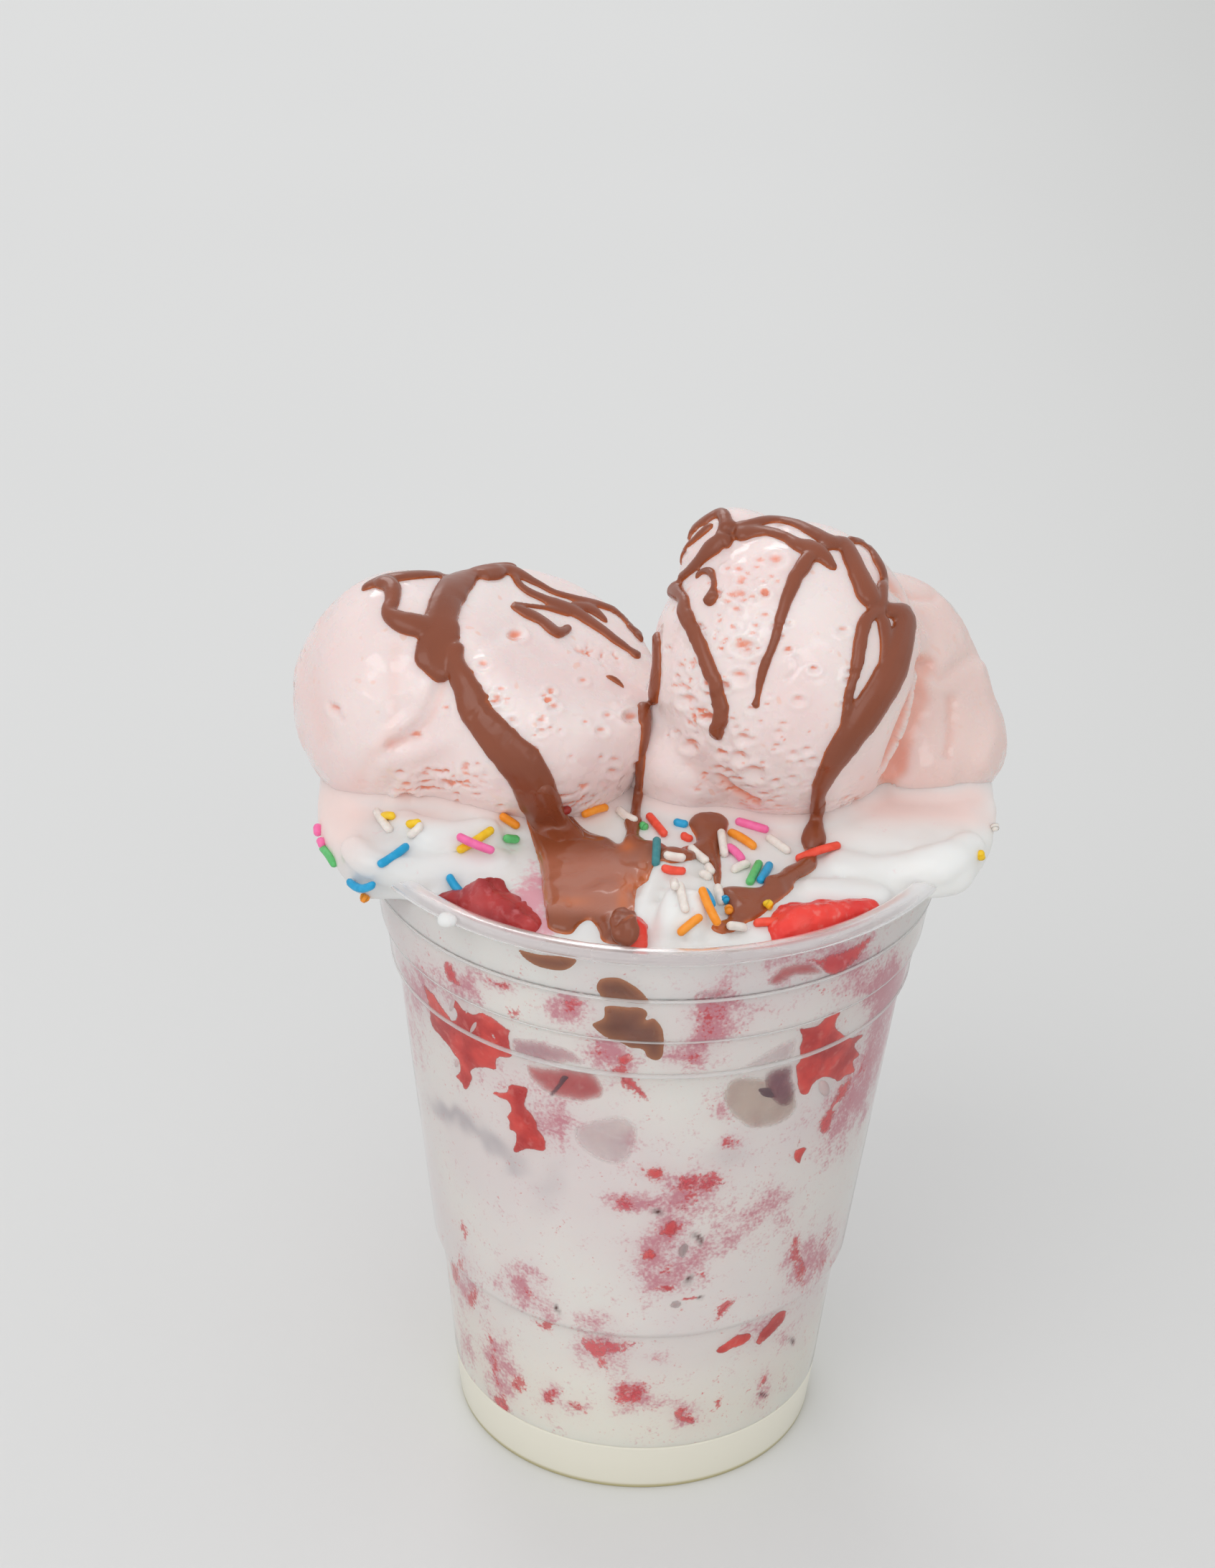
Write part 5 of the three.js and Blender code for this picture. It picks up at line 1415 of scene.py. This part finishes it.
def setStains(piece):
    points = cornersOf(piece)
    front = points[:, 1] < 0
    shaken = points + 0.9 * np.stack([softNoise(points, 2.4, seed) for seed in (3, 4, 5)], 1)
    seen = np.where(front[:, None], inView(shaken, 1), inView(shaken, -1))
    behind = {"stain": randomBlobs(52, (1.5, 5.5), 5), "red": randomBlobs(56, (0.5, 2.4), 6),
              "dark": randomBlobs(14, (0.3, 0.6), 8), "shade": randomBlobs(6, (2, 6), 12)}
    ahead = {"stain": stainBlobs, "red": redBlobs, "dark": darkSpecks, "shade": shadeBlobs}
    for name, blobs in ahead.items():
        setField(piece, name, np.where(front, blobField(seen, blobs), blobField(seen, behind[name])))


def makeFilling():
    sides, rows = round(filling["sides"] / coarse), round(filling["rows"] / coarse)
    low = cup["footHeight"] + cup["wall"] / 2
    heights = np.linspace(low, filling["top"], rows)
    profile = [(0, low)] + [(wallRadius(z) - cup["wall"] / 2, z) for z in heights] + [(0, filling["top"])]
    piece = turned("fillingBody", profile, sides)
    setStains(piece)
    return piece


# what has risen between the cream and the wall
def makeRisen():
    heights = np.linspace(filling["top"] - 0.3, filling["risenTop"], round(16 / coarse))
    out = [(wallRadius(z) - cup["wall"] / 2, z) for z in heights]
    back = [(radius - filling["risenThickness"], z) for radius, z in reversed(out)]
    piece = turned("risenFilling", out + back, round(filling["sides"] / coarse))
    setStains(piece)
    return piece


def fillingFinish():
    material, tree, shader = newFinish(
        "strawberriesInCream", Specular_IOR_Level=0.25, Subsurface_Weight=0.4, Subsurface_Scale=0.003,
        Subsurface_Radius=(1.0, 0.75, 0.7))
    pink = raggedField(tree, "stain", Low=0.22, High=1.05, Cloud_Scale=300.0, Cloud=1.7,
                       Grain_Scale=1800.0, Grain=1.6)
    red = raggedField(tree, "red", Low=0.3, High=0.85, Cloud_Scale=480.0, Cloud=1.4, Grain_Scale=1900.0,
                      Grain=2.0)
    base = clouded(tree, paint(248, 243, 238), paint(243, 233, 232), 30.0, detail=3.0)
    # each laid over the last: low down, painted shade in the hollows, a wash of juice, stains, mottled red,
    # specks
    for amount, share, colour in (
            (smoothStep(tree, placeOf(tree, "Z"), 0.036, 0.012), 0.8, paint(247, 243, 231)),
            (fieldOf(tree, "shade"), 0.8, paint(196, 188, 192)),
            (fieldOf(tree, "stain"), 0.28, paint(226, 186, 192)),
            (pink, 0.8, paint(214, 128, 146)),
            (red, 0.8, paint(220, 70, 76)),
            (fieldOf(tree, "dark"), 1.0, paint(96, 52, 50))):
        base = mixColour(tree, mathNode(tree, "MULTIPLY", amount, share, clamp=True), base, colour)
    tree.links.new(base, shader.inputs["Base Color"])
    addSkin(tree, shader, 0.5, 0.3, 120.0, 700.0)
    return material


# cut strawberry and the like: colours from its look, a milky film towards its edges, and soft edges
# where it is sunk in the cream
def fleshFinish(name, look):
    material, tree, shader = newFinish(
        name, Specular_IOR_Level=0.35, Subsurface_Weight=0.25, Subsurface_Scale=0.002,
        Subsurface_Radius=(1.0, 0.3, 0.25))
    colour = clouded(tree, paint(*look["red"]), paint(*look["deep"]), 150.0, 0.16, 4.0)
    threads = placeGroup(tree, blotches, Scale=620.0, Share=0.36, Soft=0.1, Detail=3.0).outputs["Mask"]
    for amount, share in ((threads, look["threads"]), (fieldOf(tree, "edge"), look["film"])):
        veil = mathNode(tree, "MULTIPLY", amount, share, clamp=True)
        colour = mixColour(tree, veil, colour, paint(*look["veil"]))
    tree.links.new(colour, shader.inputs["Base Color"])
    addSkin(tree, shader, 0.42, 0.2, 200.0, 900.0, strength=0.3)
    if "opaque" in look:
        low, high, most = look["opaque"]
        gone = raggedField(tree, "edge", Low=low, High=high, Cloud_Scale=500.0,
                           Cloud=look["grain"] * 0.7, Grain_Scale=1500.0, Grain=look["grain"])
        share = mathNode(tree, "SUBTRACT", 1.0, gone)
        tree.links.new(mathNode(tree, "MULTIPLY", share, most), shader.inputs["Alpha"])
        passLight(tree, shader, (1, 1, 1, 1))
    return material


# slices strewn over the back of the cup
def backOutlines(count, seed):
    draws = np.random.default_rng(seed)
    outlines = []
    angles = np.linspace(0, 2 * math.pi, 11, endpoint=False)
    for _ in range(count):
        y = draws.uniform(-90, -28)
        x = draws.uniform(-0.74, 0.74) * (45 + 0.183 * (y + 24))
        wide, high = draws.uniform(2.2, 6.5), draws.uniform(2.2, 7)
        reach = draws.uniform(0.6, 1.15, 11)
        outlines.append(np.c_[x + wide * reach * np.cos(angles), y + high * reach * np.sin(angles)])
    return dict(enumerate(outlines))


def dropOutlines(drops):
    turns = np.linspace(0, 2 * math.pi, 9, endpoint=False)
    outlines = []
    for x, y, wide, high, tilt in drops:
        c, s = math.cos(math.radians(tilt)), math.sin(math.radians(tilt))
        a, b = wide * np.cos(turns), high * np.sin(turns)
        outlines.append(np.c_[x + a * c - b * s, y + a * s + b * c])
    return dict(enumerate(outlines))


fillingBody, risenFilling = makeFilling(), makeRisen()
creamyFilling = fillingFinish()
finishPiece(fillingBody, creamyFilling, "strawberries_in_cream", "filling")
finishPiece(risenFilling, creamyFilling, "strawberries_in_cream", "whipped_cream")
onWall = resting(fillingBody, risenFilling)
# "opaque" is where an edge begins and ends to show, and how much of what lies behind is covered at most
looks = {
    "red": {"red": (244, 84, 74), "deep": (196, 42, 42), "veil": (242, 146, 140), "threads": 0.4,
            "film": 0.25, "opaque": (0.62, 0.8, 1.0), "grain": 0.25},
    "softRed": {"red": (240, 84, 82), "deep": (224, 70, 76), "veil": (244, 160, 166), "threads": 0.6,
                "film": 0.35, "opaque": (0.35, 0.95, 0.92), "grain": 0.9},
    "grainy": {"red": (242, 98, 104), "deep": (226, 84, 100), "veil": (246, 190, 196), "threads": 0.8,
               "film": 0.3, "opaque": (0.1, 0.7, 0.8), "grain": 1.6},
    "veiled": {"red": (214, 92, 94), "deep": (198, 76, 80), "veil": (226, 168, 168), "threads": 0.25,
               "film": 0.8, "opaque": (0.08, 0.95, 0.82), "grain": 0.3},
    "pink": {"red": (206, 140, 150), "deep": (190, 130, 144), "veil": (222, 176, 184), "threads": 0.4,
             "film": 0.6, "opaque": (0.05, 0.9, 0.6), "grain": 0.5},
    "pale": {"red": (224, 204, 204), "deep": (216, 192, 196), "veil": (234, 220, 218), "threads": 0.3,
             "film": 0.6, "opaque": (0.02, 0.9, 0.5), "grain": 0.3},
    "brown": {"red": (216, 196, 184), "deep": (206, 184, 174), "veil": (228, 210, 202), "threads": 0.3,
              "film": 0.6, "opaque": (0.08, 0.95, 0.85), "grain": 0.3},
    "violet": {"red": (150, 100, 114), "deep": (134, 86, 100), "veil": (196, 140, 136), "threads": 0.2,
               "film": 0.6, "opaque": (0.03, 0.8, 0.85), "grain": 0.4},
    "dark": {"red": (112, 84, 92), "deep": (100, 74, 84), "veil": (140, 110, 118), "threads": 0.1,
             "film": 0.4, "opaque": (0.4, 0.95, 0.9), "grain": 0.4},
    "seed": {"red": (186, 172, 170), "deep": (172, 160, 160), "veil": (214, 190, 192), "threads": 0.2,
             "film": 0.5, "opaque": (0.5, 0.95, 0.85), "grain": 0.3},
    "brownSauce": {"red": (134, 88, 76), "deep": (120, 76, 64), "veil": (206, 138, 96), "threads": 0.06,
                   "film": 0.75, "opaque": (0.82, 0.98, 1.0), "grain": 0.1},
    "milk": {"red": (232, 206, 204), "deep": (226, 196, 196), "veil": (236, 216, 214), "threads": 0.1,
             "film": 0.3},
}
# look, name, outlines, how far it stands out, how ragged its edge is, side
wallPieces = [
    ("pink", "slicesPink", pinkOutlines, 0.04, 0.3, 1),
    ("pale", "slicesPale", paleOutlines, 0.05, 0.15, 1),
    ("veiled", "slicesVeiled", veiledOutlines, 0.07, 0.2, 1),
    ("brown", "slicesBrown", brownOutlines, 0.08, 0.15, 1),
    ("violet", "slicesViolet", violetOutlines, 0.11, 0.2, 1),
    ("dark", "slicesDark", darkOutlines, 0.14, 0.1, 1),
    ("grainy", "slicesGrainy", grainyOutlines, 0.1, 0.3, 1),
    ("softRed", "slicesSoft", softRedOutlines, 0.15, 0.15, 1),
    ("red", "slicesRed", redOutlines, 0.18, 0.22, 1),
    ("seed", "slicesGrey", seedOutlines, 0.2, 0.1, 1),
    ("milk", "milkDrops", dropOutlines(milkDrops), 0.36, 0.05, 1),
    ("brownSauce", "chocolateAtWall", chocolateOutlines, 0.17, 0.12, 1),
    ("softRed", "slicesBack", backOutlines(14, 17), 0.14, 0.4, -1),
]
for look, name, outlines, rise, ragged, side in wallPieces:
    sheets = [sheetPiece(outline, onWall, rise, 1.2, 0.3, 0.3 * coarse, side, ragged)
              for outline in outlines.values()]
    slot = "chocolate" if look == "brownSauce" else "strawberries_in_cream"
    nodes = ("filling", "whipped_cream") if look in ("brownSauce", "veiled", "softRed") else ("filling",)
    slices = joined(name, sheets)
    finishPiece(slices, fleshFinish(name, looks[look]), slot, *nodes)
    slices.data.set_sharp_from_angle(angle=math.radians(48))
print("filling made")


# Strawberry pieces that stand in the cream along the inside of the rim: outline as seen

berries = {
    "strawberry_left": {
        "look": {"red": (190, 62, 60), "deep": (160, 46, 48), "veil": (220, 130, 134), "threads": 0.4,
                 "film": 0.3},
        "outline": [(-34.6, -17.6), (-33.6, -15.9), (-30.2, -15.2), (-28.2, -13.7), (-27.0, -13.4),
                    (-25.9, -15.4), (-23.9, -16.1), (-22.2, -17.7), (-19.1, -19.6), (-18.3, -21.2),
                    (-18.9, -24.2), (-23.4, -24.8), (-29.6, -23.8), (-33.6, -21.6)],
        "rise": 1.6, "depth": 5.5, "seed": 3,
    },
    "strawberry_right": {
        "look": {"red": (248, 72, 62), "deep": (230, 54, 50), "veil": (248, 150, 140), "threads": 0.5,
                 "film": 0.15},
        "outline": [(19.4, -21.6), (20.6, -18.6), (22.2, -16.9), (24.6, -15.6), (31.0, -14.9),
                    (33.5, -14.2), (35.6, -14.6), (37.2, -16.7), (36.6, -19.6), (31.2, -22.9),
                    (24, -24.2), (20.6, -23.8)],
        "rise": 1.6, "depth": 5.5, "seed": 8,
    },
    "strawberry_front": {
        "look": {"red": (240, 70, 50), "deep": (224, 52, 42), "veil": (246, 146, 130), "threads": 0.35,
                 "film": 0.2},
        "outline": [(-4.2, -19.4), (-3.0, -18.9), (-1.2, -19.3), (-0.5, -21), (-0.8, -24), (-4.2, -24.2)],
        "rise": 0.5, "depth": 3.4, "seed": 5,
    },
}


# chocolate runs over the small chip's left side: across, up and half width as seen
chipRun = [
    (-5.4, -17.4, 1.3), (-4.3, -18.9, 2.1), (-3.9, -20.6, 2.1), (-4.2, -22.0, 2.0), (-4.5, -23.2, 1.6),
]


# the pieces lean inwards against the plastic
def berryPiece(name, berry, leaning):
    piece = sheetPiece(berry["outline"], leaning, berry["rise"], berry["depth"], 1.2, 0.3 * coarse, 1, 0.25)
    piece.name = name + "_flesh"
    remeshed(piece, 0.36, 5)
    points, normals = cornersOf(piece), normalsOf(piece)
    relief = 0.3 * layeredNoise(points, 3, 2, berry["seed"] + 1)
    relief += 0.16 * softNoise(points, 0.8, berry["seed"] + 2)
    points = points + normals * relief[:, None]
    radius = np.hypot(points[:, 0], points[:, 1])
    most = np.minimum(wallRadius(points[:, 2]) - cup["wall"] - 0.15, cup["lipInside"] - 0.2)
    points[:, :2] *= np.minimum(1, most / radius)[:, None]
    moveCorners(piece, points)
    cloud = blend(0.2, 0.8, softNoise(points, 3.4, berry["seed"] + 4))
    setField(piece, "edge", 0.8 * cloud)
    return piece


leaningWall = turned("leaningWall", [(44.2, 103), (44.4, 109), (44.2, 112), (43.2, 115), (40.6, 121),
                                     (39, 121), (41, 103)], 180)
leaning = resting(leaningWall)
thrownAway(leaningWall)
for name, berry in berries.items():
    piece = berryPiece(name, berry, leaning)
    finishPiece(piece, fleshFinish(piece.name, berry["look"]), "strawberry", name)
onChip = resting(piece, whippedCream, chocolatePool)  # the front chip was made last
overChip = [strandPiece(onChip, chipRun, rise=1.15, seed=99)] + filletDrops(onChip, chipRun)
pouredPiece("chocolateOverChip", onChip, overChip, 0.25, 6, drizzleFinish, "whipped_cream")
print("strawberries made")


# Sprinkles: colour and both ends of each one as it is seen

sprinkle = {
    "radius": 0.68,
    "length": 6.4,
    "behind": 46,  # how many lie behind the scoops
    "colours": {
        "pink": (250, 112, 170), "green": (92, 190, 110), "blue": (20, 160, 210), "orange": (252, 150, 30),
        "yellow": (246, 198, 24), "red": (238, 78, 54), "darkRed": (150, 34, 22), "teal": (58, 134, 140),
        "white": (232, 224, 216),
    },
}
sprinklePlaces = [
    ("pink", -54.0, -6.0, -53.8, -7.9), ("pink", -54.3, -8.6, -53.3, -9.7),
    ("green", -52.8, -8.4, -51.3, -13.5), ("blue", -43.7, -12.2, -39.1, -9.0),
    ("blue", -48.9, -14.0, -43.0, -14.2, 0.4, 0.9), ("orange", -46.1, -16.4, -45.1, -17.3),
    ("yellow", -43.2, -4.6, -41.3, -4.4), ("yellow", -39.3, -5.5, -37.1, -5.2),
    ("yellow", -31.4, -9.3, -25.9, -5.6), ("pink", -31.9, -7.4, -25.7, -9.9, 1.3),
    ("green", -24.3, -6.9, -21.5, -7.2), ("orange", -24.6, -2.8, -21.6, -5.1),
    ("blue", -32.6, -13.1, -30.3, -16.1), ("darkRed", -16.6, -2.3, -13.5, -1.3),
    ("orange", -11.8, -2.3, -7.8, -1.4), ("green", -2.3, -4.0, -1.2, -4.7),
    ("red", -1.6, -2.0, 2.2, -6.3), ("red", 4.2, -5.4, 6.0, -6.3), ("teal", 1.6, -6.3, -0.3, -10.3),
    ("blue", 2.9, -3.5, 5.6, -3.7), ("pink", 12.7, -2.9, 18.1, -4.3), ("orange", 11.7, -4.7, 16.1, -7.2),
    ("pink", 11.6, -7.1, 14.2, -9.4), ("red", 1.2, -10.9, 5.1, -11.3), ("green", 16.8, -9.4, 15.3, -12.9),
    ("blue", 18.8, -8.9, 16.7, -13.2), ("red", 22.5, -8.8, 29.6, -6.1), ("blue", 7.9, -14.2, 9.3, -16.6),
    ("blue", 11.8, -14.9, 12.3, -15.6), ("orange", 6.6, -14.1, 9.9, -19.9, 0.8),
    ("orange", 4.3, -20.9, 7.8, -17.9), ("orange", 12.1, -16.9, 12.6, -17.6),
    ("yellow", 17.5, -15.6, 18.7, -16.4), ("red", 16.2, -19.2, 20.5, -18.9),
    ("yellow", 51.4, -6.0, 51.7, -7.2), ("white", 53.3, -1.8, 53.9, -2.9),
    ("white", 1.6, -8.7, 5.0, -9.0), ("white", 5.3, -7.4, 8.4, -9.8), ("white", 10.3, -4.5, 11.3, -8.7),
    ("white", 2.9, -11.6, 4.2, -15.4), ("white", 3.5, -13.2, 6.2, -17.6),
    ("white", 17.8, -5.3, 21.5, -7.7), ("white", 7.4, -11.4, 9.2, -12.3),
    ("white", 10.3, -13.3, 11.1, -16.3), ("white", -39.0, -7.5, -36.8, -5.4),
    ("white", -44.3, -3.4, -41.9, -6.7), ("white", -6.1, -1.7, -3.1, -3.6),
    ("white", 12.5, -11.0, 15.2, -9.7), ("white", 11.7, -19.5, 15.2, -20.0),
    ("white", 8.5, -10.2, 9.4, -11.6),
]


# points and faces of a round-ended sugar rod
def rodShape(start, end, radius, bend):
    way = end - start
    length = np.linalg.norm(way)
    way = way / length
    side = np.cross(way, (0.3, 0.2, 1))
    side /= np.linalg.norm(side)
    other = np.cross(way, side)
    rings = [(-0.98, 0.25), (-0.75, 0.68), (-0.3, 0.96)]
    stations = [(radius * (1 + a), r) for a, r in rings]
    stations += [(t * length, 1.0) for t in np.linspace(0.25, 0.75, 4)]
    stations += [(length - radius * (1 + a), r) for a, r in reversed(rings)]
    points = []
    for along, scale in stations:
        centre = start + way * along + other * bend * math.sin(math.pi * min(max(along / length, 0), 1))
        for a in np.linspace(0, 2 * math.pi, 10, endpoint=False):
            points.append(centre + (side * math.cos(a) + other * math.sin(a)) * radius * scale)
    faces = [[10 * i + k, 10 * i + (k + 1) % 10, 10 * (i + 1) + (k + 1) % 10, 10 * (i + 1) + k]
             for i in range(len(stations) - 1) for k in range(10)]
    faces.append(list(range(9, -1, -1)))
    faces.append([10 * (len(stations) - 1) + k for k in range(10)])
    return points, faces


def sugar(name, colour):
    material, tree, shader = newFinish(
        "sprinkle_" + name, Specular_IOR_Level=0.4, Subsurface_Weight=0.1, Subsurface_Scale=0.001)
    paler = tuple(min(1.0, c * 1.12 + 0.02) for c in colour[:3]) + (1.0,)
    tree.links.new(clouded(tree, colour, paler, 900.0), shader.inputs["Base Color"])
    addSkin(tree, shader, 0.42, 0.3, 400.0, 2500.0, strength=0.12, distance=0.0002)
    return material


# a rod seen from the front lies on what it covers, clear of whatever swells up beneath it
def laidRod(surface, x0, y0, x1, y1, over=0.0, bend=0.0):
    ends = [dropped(surface, place) for place in ((x0, y0), (x1, y1))]
    (middle, normal), seat = dropped(surface, ((x0 + x1) / 2, (y0 + y1) / 2)), sprinkle["radius"] * 0.6
    a, b = (hit + slope * seat for hit, slope in ends)
    if np.linalg.norm(b - a) > sprinkle["length"] * 1.25:  # one end went past an edge
        way = (b - a) / np.linalg.norm(b - a) * sprinkle["length"] / 2
        level = way - normal * (way @ normal)
        a, b = middle + normal * seat - level, middle + normal * seat + level
    sag = (middle + normal * seat - (a + b) / 2) @ normal
    lift = normal * (max(sag, 0) * 0.7 + over)
    return a + lift, b + lift, bend


def makeSprinkles():
    surface = resting(whippedCream, chocolatePool)
    everything = resting(whippedCream, chocolatePool, scoopLeft, scoopRight)
    rods = [(colour, *laidRod(everything, *ends)) for colour, *ends in sprinklePlaces]
    draws = np.random.default_rng(9)
    names = list(sprinkle["colours"])
    eye = Vector(sightOf(1)[0])
    while len(rods) < len(sprinklePlaces) + sprinkle["behind"]:
        angle, radius = draws.uniform(0.35, 2.8), draws.uniform(30, 53)
        spin, colour = draws.uniform(0, math.pi), names[draws.integers(len(names))]
        above = Vector((radius * math.cos(angle), radius * math.sin(angle), 200))
        hit, normal, _, _ = surface["tree"].ray_cast(above, Vector((0, 0, -1)))
        blocked = between["tree"].ray_cast(above, Vector((0, 0, -1)))[0]
        if hit is None or hit.z < 108 or normal.z < 0.25:
            continue
        if blocked is not None and blocked.z > hit.z - 1:
            continue
        seat = hit + normal * 3  # those that would show from the front are left out
        if everything["tree"].ray_cast(seat, (eye - seat).normalized())[0] is None:
            continue
        level = Vector((math.cos(spin), math.sin(spin), 0))
        way = np.array((level - normal * level.dot(normal)).normalized()) * sprinkle["length"] / 2
        seat = np.array(hit) + np.array(normal) * sprinkle["radius"] * 0.5
        rods.append((colour, seat - way, seat + way, 0.0))
    for colour, shade in sprinkle["colours"].items():
        points, faces = [], []
        for own, start, end, bend in rods:
            if own == colour:
                made, around = rodShape(start, end, sprinkle["radius"], bend or draws.uniform(-0.3, 0.3))
                faces += [[len(points) + v for v in face] for face in around]
                points += made
        piece = pieceFrom("sprinkles_" + colour, points, faces)
        finishPiece(piece, sugar(colour, paint(*shade)), "sprinkles", "whipped_cream")


makeSprinkles()
print("sprinkles strewn")


# A drop of cream on the lip

def makeDrop():
    spot, normal = dropped(resting(cupLip), (-32.1, -20.1))
    ways, faces = roundCorners(3)
    bumps = 1 + 0.14 * layeredNoise(ways * 10, 9, 2, 12)
    points = spot + normal * 0.5 + ways * bumps[:, None] * (1.5, 1.3, 1.1)
    drop = pieceFrom("creamDrop", points, faces)
    finishPiece(drop, creamyWhite, "whipped_cream", "whipped_cream", "cup")


makeDrop()
print("drop of cream made")


# The floor

def makeFloor():
    half = studio["floorHalf"]
    corners = [(-half, -half, 0), (half, -half, 0), (half, half, 0), (-half, half, 0)]
    floor = pieceFrom("floor", corners, [[0, 1, 2, 3]])
    material, tree, shader = newFinish("paperFloor", Roughness=0.8, Specular_IOR_Level=0.2)
    grey = clouded(tree, paint(225, 225, 224), paint(224, 224, 223), 6.0, 0.3, 1.0)
    # it gets a little darker to the right: painted shade, where the light falls off
    right = smoothStep(tree, placeOf(tree, "X"), 0.0, 0.35)
    tree.links.new(mixColour(tree, right, grey, paint(207, 207, 205)), shader.inputs["Base Color"])
    floor.data.materials.append(material)


makeFloor()
print("floor laid")
